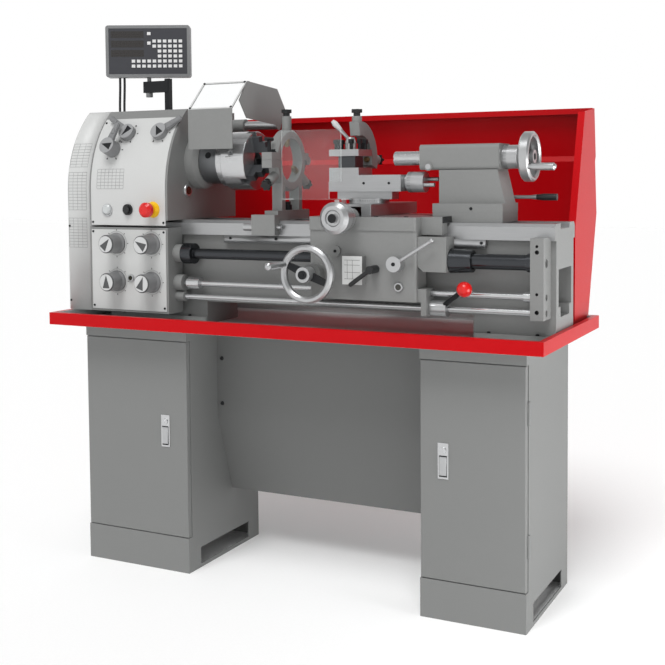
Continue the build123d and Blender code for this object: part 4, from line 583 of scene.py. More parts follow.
def ring_of_marks(name: str, foot: Vector, axis: Vector, count: int, r: float, size: Sequence[float],
                  finish: Finish, body: str) -> bpy.types.Object:
    """Sets marks round an axis.

    Args:
        name: Name of the piece.
        foot: Middle of the ring, in metres of the row frame.
        axis: Axis of the ring.
        count: Number of marks.
        r: Radius of the ring in millimetres.
        size: Size of a mark in millimetres: radially, round the ring and along the axis.
        finish: Its finish.
        body: The body it moves with.

    Returns:
        The piece.
    """
    move = Matrix.Translation(foot) @ axis.to_track_quat("Z", "Y").to_matrix().to_4x4()
    inputs = {"Count": count, "Radius": r / MM, "Size": [s / MM for s in size], "Finish": finish.material()}
    return from_tree(name, marks_tree(), bpy.data.meshes.new(name), inputs, move, finish, body)


def parts_on_points(name: str, part: Shape, points: Sequence[Vector], finish: Finish, body: str,
                    move: Matrix | None = None) -> bpy.types.Object:
    """Sets one small part on every point.

    Args:
        name: Name of the piece.
        part: The part, built round the origin of the row frame.
        points: Where it goes, in metres.
        finish: Its finish.
        body: The body it moves with.
        move: A last move of them all.

    Returns:
        The piece.
    """
    mesh = bpy.data.meshes.new(name + "_part")
    part.bm.to_mesh(mesh)
    part.bm.free()
    sample = bpy.data.objects.new(name + "_part", mesh)
    bpy.context.scene.collection.objects.link(sample)
    places = bpy.data.meshes.new(name + "_places")
    places.from_pydata([tuple(p) for p in points], [], [])
    inputs = {"Part": sample, "Finish": finish.material()}
    piece = from_tree(name, points_tree(), places, inputs, move or Matrix.Identity(4), finish, body)
    bpy.data.objects.remove(sample)
    return piece


def front_at(z: float) -> tuple[float, Vector]:
    """Y place and outward normal of the headstock's front, at a height above the floor in millimetres."""
    lean = asin(max(z - ARC_Z, 0.0) / ARC_R)
    return ARC_Y - ARC_R * cos(lean), Vector((0.0, -cos(lean), sin(lean)))


def front_point(x: float, z: float, proud: float = PROUD) -> Vector:
    """Point just off the front of the headstock, in metres."""
    y, normal = front_at(z)
    return at(x, y, z) + normal * proud / MM


def screw_head(r: float, height: float, axis: Vector) -> Shape:
    """Cap screw head with a sunk socket, round the origin.

    Args:
        r: Radius in millimetres.
        height: Height in millimetres.
        axis: Direction from seat to top.

    Returns:
        The head.
    """
    shape = Shape().disc(ORIGIN, axis, r, height, r * SCREW_TOP_SHARE, SCREW_SIDES)
    top = max(shape.bm.faces, key=lambda face: face.calc_center_median().dot(axis))
    bmesh.ops.inset_region(shape.bm, faces=[top], thickness=r * SOCKET_SHARE / MM)
    bmesh.ops.inset_region(shape.bm, faces=[top], thickness=r * SOCKET_LIP_SHARE / MM,
                           depth=-height * SOCKET_DEPTH_SHARE / MM)
    return shape


@dataclass
class Stand:
    """Cabinets, doors, panel, tray and splash guard."""

    tray_top: float = 703.0
    tray_front: float = -240.0
    tray_back: float = 284.0
    tray_half: float = 700.0
    rim_depth: float = 4.0
    front: float = -160.0
    latch_width: float = 28.0
    latch_height: float = 88.0
    latches: tuple[tuple[str, float, float], ...] = (("left", -371.5, 386.0), ("right", 432.5, 390.0))
    plate_stand: tuple[float, float] = (2.2, -0.5)
    plate_half_share: float = 0.5
    plate_shares: tuple[float, float] = (-0.5, 0.5)
    plate_edge: float = 1.0
    paddle_stand: tuple[float, float] = (5.0, 1.0)
    paddle_half_share: float = 0.33
    paddle_shares: tuple[float, float] = (-0.40, 0.12)
    paddle_edge: float = 1.6
    recess_stand: tuple[float, float] = (2.7, 2.0)
    recess_half_share: float = 0.36
    recess_shares: tuple[float, float] = (-0.44, 0.15)
    lock_foot: float = 1.0
    lock_height: float = 4.5
    lock_r_share: float = 0.30
    lock_z_share: float = 0.30
    lock_edge: float = 0.5
    key_half: float = 0.9
    key_stand: tuple[float, float] = (6.0, 5.0)
    key_shares: tuple[float, float] = (0.24, 0.36)
    cap_r: float = 6.0
    cap_top_r: float = 4.0
    cap_height: float = 4.0
    cap_sides: int = 20
    cap_y: float = -7.0
    caps: tuple[tuple[float, float], ...] = ((-286.0, 567.0), (-286.0, 440.0), (357.0, 567.0), (357.0, 440.0))
    rear_screw: tuple[float, float] = (4.5, 2.2)
    rear_screws: tuple[float, ...] = (-640.0, -320.0, 0.0, 320.0, 640.0)
    rear_screw_z: float = 688.0

    def dress(self) -> None:
        """Paints the stand: grey cabinets and panel, with the panel darker as painted shade of its recess
        under the tray, red tray rim and splash guard.
        """
        dress("cabinets", STAND)
        dress("left_door", STAND)
        dress("right_door", STAND)
        dress("stand_panel", PANEL_PAINTED_SHADE)
        dress("chip_tray", RED, Zone(TRAY_INSIDE, self._inside_tray))
        dress("splash_guard", RED, edge=SHEET_EDGE)

    def _inside_tray(self, centre: Vector, normal: Vector) -> bool:
        """Tells the faces inside the tray and under it.

        Args:
            centre: Middle of the face.
            normal: Its direction.

        Returns:
            True on those faces.
        """
        rim = centre.z > self.tray_top - self.rim_depth and normal.z > SLOPING
        outside = (abs(centre.x) > self.tray_half - PLAY or centre.y < self.tray_front + PLAY
                   or centre.y > self.tray_back - PLAY)
        return not (rim or outside)

    def build(self) -> None:
        """Makes the latches, the panel's caps and the screws of the tray's rear rim."""
        for side, x, z in self.latches:
            self._latch(f"{side}_latch", x, z, f"{side}_door")
        cap = Shape().disc(ORIGIN, FRONT, self.cap_r, self.cap_height, self.cap_top_r, self.cap_sides)
        places = [at(x, self.cap_y, z) for x, z in self.caps]
        parts_on_points("panel_screw_caps", cap, places, BLACK, "machine")
        rear = [at(x, self.tray_back, self.rear_screw_z) for x in self.rear_screws]
        parts_on_points("tray_rear_screws", screw_head(*self.rear_screw, BACK), rear, BLACKED, "machine")

    def _latch(self, name: str, x: float, z: float, body: str) -> None:
        """Makes one door latch: plate, paddle, lock, and a thin black sheet painted as the shade of the
        recess round the paddle.

        Args:
            name: Start of the pieces' names.
            x: Middle of the latch.
            z: Its height.
            body: The door it is on.
        """
        plate = self._leaf(x, z, self.plate_half_share, self.plate_shares, self.plate_stand)
        plate.done(f"{name}_plate", CHROME, body, edge=self.plate_edge)
        paddle = self._leaf(x, z, self.paddle_half_share, self.paddle_shares, self.paddle_stand)
        paddle.done(f"{name}_paddle", SATIN, body, edge=self.paddle_edge)
        middle = at(x, self.front - self.lock_foot, z + self.latch_height * self.lock_z_share)
        lock = Shape().disc(middle, FRONT, self.latch_width * self.lock_r_share, self.lock_height)
        low, high = (z + self.latch_height * share for share in self.key_shares)
        out, foot = self.key_stand
        lock.block(x - self.key_half, x + self.key_half, self.front - out, self.front - foot, low, high)
        lock.done(f"{name}_lock", CHROME, body, edge=self.lock_edge)
        # Painted shade: a thin black sheet on the plate stands for the dark recess round the paddle.
        recess = self._leaf(x, z, self.recess_half_share, self.recess_shares, self.recess_stand)
        recess.done(f"{name}_recess", BLACKED, body)

    def _leaf(self, x: float, z: float, half_share: float, shares: tuple[float, float],
              stand: tuple[float, float]) -> Shape:
        """Block of a latch in front of its door.

        Args:
            x: Middle of the latch.
            z: Its height.
            half_share: Half the block's width, as a share of the latch's width.
            shares: Its bottom and top, as shares of the latch's height.
            stand: How far its front and its back stand out of the door.

        Returns:
            The block.
        """
        half = self.latch_width * half_share
        low, high = (z + self.latch_height * share for share in shares)
        out, foot = stand
        return Shape().block(x - half, x + half, self.front - out, self.front - foot, low, high)


@dataclass
class Headstock:
    """Headstock castings, front panels, end cover and their controls."""

    left: float = -617.0
    right: float = -356.0
    cover_left: float = -698.0
    bore_zone_r: float = 46.0
    lamp_right: float = -520.0
    stop_left: float = -440.0
    hub_r: float = 23.0
    hub_step: float = 1.0
    hub_play: float = 0.3
    knob_face: float = -210.5
    knob_play: float = 0.3
    knob_bevel: float = 3.2
    knob_pointer: float = 1.3
    bevel_facing: tuple[float, float] = (-0.95, -0.3)
    knobs: tuple[tuple[float, float], ...] = (
        (-525.0, 894.0),
        (-409.0, 894.0),
        (-525.0, 790.0),
        (-409.0, 790.0),
    )
    levers: tuple[tuple[str, float, float, float], ...] = (
        ("speed_lever_left", -511.0, 1195.0, 16.5),
        ("speed_lever_right", -404.0, 1195.0, 16.5),
        ("feed_reverse_lever", -547.0, 1151.0, 35.5),
    )
    gearbox_sight: tuple[float, float, float] = (-477.0, 800.0, 10.0)
    headstock_sight: tuple[float, float, float] = (-62.0, 1038.0, 18.0)
    apron_sight: tuple[float, float, float] = (319.0, 804.0, 12.0)
    sight_height: float = 5.0
    sight_edge: float = 0.6
    sight_top_share: float = 0.9
    glass_share: float = 0.62
    glass_foot: float = 4.6
    glass_height: float = 1.0
    lamp: tuple[float, float] = (-555.0, 985.0)
    lamp_ring: tuple[float, float, float] = (14.1, 17.0, 3.0)
    lamp_edge: float = 0.5
    tables: tuple[tuple[float, float, float, float, int, int], ...] = (
        (-590.0, -500.0, 1044.0, 1098.0, 6, 7),
        (-690.0, -627.0, 985.0, 1090.0, 12, 4),
        (-690.0, -627.0, 880.0, 962.0, 10, 4),
        (-690.0, -627.0, 1105.0, 1170.0, 8, 3),
    )
    table_line: float = 0.9
    table_steps: int = 8
    scale_marks: int = 8
    scale_r: float = 37.0
    scale_mark: tuple[float, float, float] = (4.0, 1.8, 0.5)
    scale_proud: float = 0.2
    circle: tuple[float, float, float] = (33.0, 33.8, 0.4)
    lever_marks: int = 6
    lever_scale_r: float = 30.0
    lever_mark: tuple[float, float, float] = (4.0, 1.8, 3.4)
    screw: tuple[float, float] = (3.2, 1.6)
    screw_inset: float = 12.0
    screw_heights: tuple[float, ...] = (720.0, 926.0, 952.0)
    cover_inset: float = 10.0
    cover_heights: tuple[float, ...] = (730.0, 940.0)
    top_screw_z: float = 1228.0

    def dress(self) -> None:
        """Paints castings, panels, controls and motor."""
        dress("headstock_castings", CASTING, Zone(TURNED, self._bearing_bore), edge=1.2)
        dress("end_cover", SHEET, edge=0)
        dress("front_panels", FACEPLATE, edge=0.4)
        dress("main_motor", MOTOR)
        dress("switch_bezels", BLACK, Zone(LENS, lambda c, n: c.x < self.lamp_right),
              Zone(YELLOW, lambda c, n: c.x > self.stop_left), edge=0.4)
        dress("start_button", BLACK, edge=0.8)
        dress("stop_button", RED_GRIP, edge=1.0)
        for number, _ in enumerate(self.knobs, 1):
            dress(f"gear_knob_{number}", GREY, Zone(RIM, self._knob_rim), Zone(PALE, self._knob_front),
                  Zone(RIM, self._knob_pointer), edge=0.5)
        for name, x, z, height in self.levers:
            dress(name, GREY, Zone(LIGHT_GREY, self._hub_test(x, z, height)),
                  Zone(BLACKED, self._hub_test(x, z, height - self.hub_step)))

    def _bearing_bore(self, centre: Vector, normal: Vector) -> bool:
        """True inside the spindle's bore."""
        return axis_distance(centre) < self.bore_zone_r

    def _knob_front(self, centre: Vector, normal: Vector) -> bool:
        """True on a knob's face."""
        return abs(centre.y - self.knob_face) < self.knob_play and normal.y < -FACING

    def _knob_rim(self, centre: Vector, normal: Vector) -> bool:
        """True on the bevel round a knob's face."""
        low, high = self.bevel_facing
        return centre.y < self.knob_face + self.knob_bevel and low < normal.y < high

    def _knob_pointer(self, centre: Vector, normal: Vector) -> bool:
        """True on the floor and the sides of a knob's sunk pointer."""
        depth = centre.y - self.knob_face
        return self.knob_play < depth < self.knob_pointer and abs(normal.y) > SQUARE

    def _hub_test(self, x: float, z: float, height: float) -> Test:
        """Test for the faces square to a lever's axis at one height of its hub.

        Args:
            x: Place of the hub along the bed.
            z: Height of the hub.
            height: Height of the faces above the front.

        Returns:
            The test.
        """
        y, out = front_at(z)
        hub = Vector((x, y, z))
        return lambda c, n: (n.dot(out) > SQUARE and abs((c - hub).dot(out) - height) < self.hub_play
                             and (c - hub - out * height).length < self.hub_r)

    def build(self) -> None:
        """Makes printed marks, screws, sights and the lamp's ring."""
        self._tables()
        self._knob_scales()
        self._screws()
        self._sights()
        inner, outer, height = self.lamp_ring
        x, z = self.lamp
        ring = Shape().ring(at(x, FRONT_Y, z), FRONT, inner, outer, height)
        ring.done("lamp_ring", SATIN, "machine", edge=self.lamp_edge)

    def _sights(self) -> None:
        """Makes the oil sights: a steel ring with its glass."""
        gearbox_x, gearbox_z, gearbox_r = self.gearbox_sight
        head_y, head_z, head_r = self.headstock_sight
        apron_x, apron_z, apron_r = self.apron_sight
        for name, foot, axis, r, body in (
            ("gearbox_sight", at(gearbox_x, FRONT_Y, gearbox_z), FRONT, gearbox_r, "machine"),
            ("headstock_sight", at(self.right, head_y, head_z), RIGHT, head_r, "machine"),
            ("apron_sight", at(apron_x, FRONT_Y, apron_z), FRONT, apron_r, "carriage"),
        ):
            ring = Shape().disc(foot, axis, r, self.sight_height, r * self.sight_top_share)
            ring.done(f"{name}_ring", SATIN, body, edge=self.sight_edge)
            seat = foot + axis * self.glass_foot / MM
            glass = Shape().disc(seat, axis, r * self.glass_share, self.glass_height)
            glass.done(f"{name}_glass", GLASS, body)

    def _tables(self) -> None:
        """Makes the ruled tables on the panel and the end cover, without words."""
        grid = Shape()
        for x0, x1, z0, z1, rows, columns in self.tables:
            for row in range(rows + 1):
                z = z0 + (z1 - z0) * row / rows
                across = front_at(z)[1].cross(RIGHT)
                grid.strip([front_point(x0, z), front_point(x1, z)], across, self.table_line)
            for column in range(columns + 1):
                x = x0 + (x1 - x0) * column / columns
                heights = [z0 + (z1 - z0) * k / self.table_steps for k in range(self.table_steps + 1)]
                grid.strip([front_point(x, z) for z in heights], RIGHT, self.table_line)
        grid.done("ruled_tables", FAINT, "machine")

    def _knob_scales(self) -> None:
        """Makes the ring of marks round each knob and each lever."""
        inner, outer, height = self.circle
        for number, (x, z) in enumerate(self.knobs, 1):
            middle = at(x, FRONT_Y - self.scale_proud, z)
            ring_of_marks(f"knob_scale_{number}", middle, FRONT, self.scale_marks,
                          self.scale_r, self.scale_mark, INK, "machine")
            circle = Shape().ring(at(x, FRONT_Y, z), FRONT, inner, outer, height)
            circle.done(f"knob_circle_{number}", FAINT, "machine")
        for name, x, z, _ in self.levers:
            ring_of_marks(f"{name}_scale", front_point(x, z, 0.0), front_at(z)[1], self.lever_marks,
                          self.lever_scale_r, self.lever_mark, INK, "machine")

    def _screws(self) -> None:
        """Makes the small screws at the panels' corners and the cover's edge."""
        sides = (self.left + self.screw_inset, self.right - self.screw_inset)
        low = [at(x, FRONT_Y, z) for x in sides for z in self.screw_heights]
        low += [at(self.cover_left + self.cover_inset, FRONT_Y, z) for z in self.cover_heights]
        parts_on_points("panel_screws", screw_head(*self.screw, FRONT), low, BLACKED, "machine")
        y, out = front_at(self.top_screw_z)
        high = [at(x, y, self.top_screw_z) for x in sides]
        parts_on_points("panel_top_screws", screw_head(*self.screw, out), high, BLACKED, "machine")


@dataclass
class Readout:
    """Display on its post."""

    x: float = -567.0
    y: float = 62.0
    base: float = 1366.0
    turn: float = 28.0
    width: float = 245.0
    height: float = 150.0
    depth: float = 38.0
    rim: float = 9.0
    rim_depth: float = 2.0
    film_play: float = 0.3
    film_stand: tuple[float, float] = (0.8, -0.2)
    window_rows: int = 3
    window_gap: float = 6.0
    window_right: float = -12.0
    window_drop: float = 22.0
    window_pitch: float = 27.0
    window_height: float = 20.0
    window_stand: tuple[float, float] = (1.1, 0.7)
    figure_count: int = 8
    figure_start: float = 5.0
    figure_gaps: float = 6.0
    figure_foot: float = 3.0
    figure_stand: tuple[float, float] = (1.35, 1.05)
    segment: tuple[float, float] = (7.0, 1.0)
    key: tuple[float, float, float] = (10.0, 2.4, 8.6)
    key_stand: float = 1.6
    pitch: tuple[float, float] = (15.2, 14.4)
    key_columns: int = 6
    key_firsts: tuple[int, ...] = (0, 0, 1, 1, -4, -4)
    side_key_shares: tuple[float, float] = (1.5, -0.4)
    keys_right: float = 19.0
    keys_top: float = 37.0
    screw: tuple[float, float] = (3.0, 1.4)
    cable_low: tuple[float, float, float] = (-640.0, 40.0, 1266.0)
    cable_high: tuple[float, float, float] = (-640.0, 40.0, 1362.0)
    cable_run: float = 12.0
    cable_cuts: int = 6

    def place(self) -> Matrix:
        """Move from the display's own frame, in metres about its swivel, to the row frame."""
        return Matrix.Translation(at(self.x, self.y, 0.0)) @ Matrix.Rotation(radians(self.turn), 4, "Z")

    def local(self, x: float, y: float, z: float) -> Vector:
        """Point of the display's own frame in metres, from millimetres."""
        return Vector((x, y, z)) / MM

    def dress(self) -> None:
        """Paints the display and its post, and copies the cables between them and the cover."""
        dress("readout_post", BLACKED, edge=0.8)
        dress("readout_display", GREY, edge=1.4)
        self._cables()

    def _cables(self) -> None:
        """Copies the cables as a smooth rubber piece, with their long runs cut into shorter edges, and hides
        the CAD cables.
        """
        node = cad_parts["readout_cables"]
        shape = bmesh.new()
        shape.from_mesh(node.data)
        bmesh.ops.remove_doubles(shape, verts=shape.verts, dist=WELD)
        run = self.cable_run / MM
        long = [e for e in shape.edges if abs(e.verts[0].co.z - e.verts[1].co.z) > run]
        bmesh.ops.subdivide_edges(shape, edges=long, cuts=self.cable_cuts)
        mesh = bpy.data.meshes.new("readout_leads")
        shape.to_mesh(mesh)
        shape.free()
        mesh.materials.clear()
        mesh.materials.append(RUBBER.material())
        mesh.polygons.foreach_set("use_smooth", [True] * len(mesh.polygons))
        piece = bpy.data.objects.new("readout_leads", mesh)
        bpy.context.scene.collection.objects.link(piece)
        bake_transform(piece)
        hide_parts("readout_cables")
        log.info("made readout_leads")

    def build(self) -> None:
        """Makes the face film, windows, segments, keys and the screws of the back."""
        body = "readout_display"
        half, face = self.width / 2 - self.rim, self.rim_depth - self.depth / 2
        low, high = self.base + self.rim, self.base + self.height - self.rim
        move = self.place()
        play = self.film_play
        film = self._plate((-half + play, half - play), (low + play, high - play), face, self.film_stand)
        film.done("display_film", SCREEN, body, move=move)
        left, right = -half + self.window_gap, self.window_right
        top = high - self.window_gap - self.window_drop
        windows = [(left, right, top - row * self.window_pitch) for row in range(self.window_rows)]
        for number, (x0, x1, z0) in enumerate(windows, 1):
            window = self._plate((x0, x1), (z0, z0 + self.window_height), face, self.window_stand)
            window.done(f"display_window_{number}", WINDOW, body, move=move)
        self._segments(windows, face, move)
        self._keys(half, high, face, move)
        corners = [self.local(x, self.depth / 2, z) for x in (-half, half) for z in (low, high)]
        parts_on_points("display_back_screws", screw_head(*self.screw, BACK), corners, BLACKED, body, move)

    def _plate(self, x: tuple[float, float], z: tuple[float, float], face: float,
               stand: tuple[float, float]) -> Shape:
        """Thin block on the face of the display, in its own frame.

        Args:
            x: Its left and right side.
            z: Its bottom and top.
            face: Bottom of the frame's recess.
            stand: How far its front and its back stand out of that.

        Returns:
            The block.
        """
        out, foot = stand
        return Shape().box(self.local(x[0], face - out, z[0]), self.local(x[1], face - foot, z[1]))

    def _segments(self, windows: Sequence[tuple[float, float, float]], face: float, move: Matrix) -> None:
        """Makes the unlit figures of the windows, as plain seven-segment eights.

        Args:
            windows: Left side, right side and bottom of each window.
            face: Bottom of the frame's recess.
            move: Where the display is.
        """
        shape = Shape()
        length, thick = self.segment
        out, foot = self.figure_stand
        lying = [(0, row, (length, thick)) for row in range(3)]
        standing = [(column, row, (thick, length)) for column in range(2) for row in range(2)]
        for x0, x1, z0 in windows:
            for figure in range(self.figure_count):
                left = x0 + self.figure_start + figure * (x1 - x0 - self.figure_gaps) / self.figure_count
                for column, row, (wide, high) in lying + standing:
                    a, b = left + column * length, z0 + self.figure_foot + row * length
                    shape.box(self.local(a, face - out, b), self.local(a + wide, face - foot, b + high))
        shape.done("display_figures", SEGMENT, "readout_display", move=move)

    def _keys(self, half: float, high: float, face: float, move: Matrix) -> None:
        """Makes the keypad.

        Args:
            half: Half the width of the film.
            high: Top of the film.
            face: Bottom of the frame's recess.
            move: Where the display is.
        """
        step_x, step_z = self.pitch
        right, top = half - self.keys_right, high - self.keys_top
        places = [(right - step_x * (self.key_columns - 1 - column), top - step_z * row)
                  for row, first in enumerate(self.key_firsts) for column in range(first, self.key_columns)]
        column = right - step_x * self.key_columns
        places += [(column, top + step_z * share) for share in self.side_key_shares]
        corner = self.local(*self.key) / 2
        key = Shape().box(-corner, corner)
        points = [self.local(x, face - self.key_stand, z) for x, z in places]
        parts_on_points("display_keys", key, points, KEY, "readout_display", move)


@dataclass
class Spindle:
    """Spindle, chuck, jaws and guard."""

    flange_inner_r: float = 50.0
    bar: tuple[float, float] = (147.0, 1220.0)
    bar_r: float = 15.0
    bar_right: float = -186.0
    hood: tuple[float, float] = (-321.0, -182.0)
    pane_foot: tuple[float, float] = (-105.0, 1256.0)
    pane_below: float = 3.0
    pane_above: float = 90.0
    pane_facing: float = 0.98
    pane_length: float = 111.0
    pane_rim: float = 5.0
    rim_in: float = 2.9
    rim_out: float = 0.4
    slope: Vector = field(default_factory=lambda: Vector((0.0, -0.693, 0.721)))
    screw: tuple[float, float] = (3.2, 1.8)
    screw_columns: tuple[float, float] = (-316.0, -187.0)
    screw_rows: tuple[tuple[float, float], ...] = ((-101.8, 1259.1), (-28.4, 1329.7))
    cam_x: float = -288.0
    cam_count: int = 3
    cam_start: float = 165.0
    cam_r: float = 9.0
    cam_height: float = 1.2
    nose_r: float = 61.2

    def dress(self) -> None:
        """Paints the turning parts and the guard."""
        dress("spindle", TURNED, Zone(FLANGE, lambda c, n: axis_distance(c) > self.flange_inner_r))
        dress("chuck", TURNED, edge=1.0)
        for number in (1, 2, 3):
            dress(f"jaw_{number}", DARK_STEEL)
        dress("chuck_guard", CASTING, Zone(TURNED, self._bar), Zone(CLEAR, self._window), edge=0.6)

    def _bar(self, centre: Vector, normal: Vector) -> bool:
        """True on the guard's hinge bar."""
        y, z = self.bar
        return hypot(centre.y - y, centre.z - z) < self.bar_r and centre.x < self.bar_right

    def _window(self, centre: Vector, normal: Vector) -> bool:
        """True on the guard's sloping pane."""
        rise = centre.z - self.pane_foot[1]
        return abs(normal.dot(self.slope)) > self.pane_facing and -self.pane_below < rise < self.pane_above

    def _frame(self) -> None:
        """Makes the rim that holds the guard's pane."""
        left, right = self.hood
        width, length, deep = right - left, self.pane_length, self.pane_rim
        rim = Shape()
        for x0, x1, y0, y1 in ((0.0, deep, 0.0, length), (width - deep, width, 0.0, length),
                               (deep, width - deep, 0.0, deep), (deep, width - deep, length - deep, length)):
            rim.box(Vector((x0, y0, -self.rim_in)) / MM, Vector((x1, y1, self.rim_out)) / MM)
        turn = Matrix((RIGHT, self.slope.cross(RIGHT), self.slope)).transposed().to_4x4()
        place = Matrix.Translation(at(left, *self.pane_foot))
        rim.done("guard_pane_rim", SHEET, "chuck_guard", move=place @ turn)

    def build(self) -> None:
        """Makes the guard's pane rim and screws, and the nose's cam locks."""
        self._frame()
        lift = self.slope * self.rim_out / MM
        top = [at(x, y, z) + lift for x in self.screw_columns for y, z in self.screw_rows]
        head = screw_head(*self.screw, self.slope)
        parts_on_points("guard_slope_screws", head, top, BLACKED, "chuck_guard")
        cams = Shape()
        for step in range(self.cam_count):
            angle = radians(self.cam_start + step * 360 / self.cam_count)
            out = Vector((0.0, cos(angle), sin(angle)))
            cams.disc(at(self.cam_x, 0.0, AXIS_Z) + out * self.nose_r / MM, out, self.cam_r, self.cam_height)
        cams.done("nose_cam_locks", BLACKED, "spindle")


@dataclass
class BedAndRods:
    """Bed, rack, rods, bracket and bed stop."""

    ways_bottom: float = 919.0
    cover_collar: float = 600.0
    stop_screw: tuple[float, float] = (-121.5, -50.5)
    bracket: tuple[float, float] = (650.0, 661.0)
    hole_floor: tuple[float, float] = (-133.0, -131.0)
    end_facing: float = 0.999
    bolt: tuple[float, float] = (4.4, 4.0)
    bolt_columns: tuple[float, ...] = (-560.0, -340.0, 520.0, 640.0)
    bolt_rows: tuple[float, float] = (-83.0, 83.0)
    bolt_z: float = 693.0
    rack_screw: tuple[float, float] = (4.0, 1.5)
    rack_screws: tuple[float, ...] = (-200.0, -60.0, 60.0, 380.0, 505.0)
    rack_y: float = -92.0
    rack_z: float = 910.5
    peg: tuple[float, float, float] = (-86.0, -210.0, 673.0)
    peg_r: float = 7.0
    peg_height: float = 14.0
    peg_edge: float = 1.0

    def dress(self) -> None:
        """Paints the bed, with ground ways, and the rods in front of it."""
        ways = Zone(GROUND, lambda c, n: c.z > self.ways_bottom and abs(n.x) < SLOPING)
        dress("bed", CASTING, ways, edge=1.0)
        dress("gear_rack", SATIN, edge=0)
        dress("lead_covers", BLUED, Zone(SATIN, lambda c, n: c.x > self.cover_collar and n.x < -SLOPING))
        dress("lead_screw", TURNED)
        dress("feed_rod", TURNED)
        dress("start_rod", TURNED)
        # Painted shade: the walls and floors inside the bracket's screw holes are black.
        dress("rod_bracket", CASTING, Zone(BLACKED, self._bracket_hole_shade), edge=1.0)
        dress("bed_stop", CASTING, Zone(SATIN, self._stop_screw), edge=0.9)

    def _stop_screw(self, centre: Vector, normal: Vector) -> bool:
        """True on the bed stop's screw, out of its block."""
        return not self.stop_screw[0] <= centre.x <= self.stop_screw[1]

    def _bracket_hole_shade(self, centre: Vector, normal: Vector) -> bool:
        """Tells the faces inside the bracket's screw holes, which are painted black as the shade in them.

        Args:
            centre: Middle of the face.
            normal: Its direction.

        Returns:
            True on their walls and floors.
        """
        left, right = self.bracket
        back, front = self.hole_floor
        wall = centre.y < front and abs(normal.y) < FACING and abs(normal.x) < self.end_facing
        return left < centre.x < right and (wall or back < centre.y < front)

    def build(self) -> None:
        """Makes the hold-down bolts, the rack's screws and the drain peg."""
        bolts = [at(x, y, self.bolt_z) for x in self.bolt_columns for y in self.bolt_rows]
        parts_on_points("hold_down_bolts", screw_head(*self.bolt, UP), bolts, BLACKED, "machine")
        heads = [at(x, self.rack_y, self.rack_z) for x in self.rack_screws]
        parts_on_points("rack_screws", screw_head(*self.rack_screw, FRONT), heads, BLACKED, "machine")
        peg = Shape().disc(at(*self.peg), UP, self.peg_r, self.peg_height)
        peg.done("drain_peg", SATIN, "machine", edge=self.peg_edge)


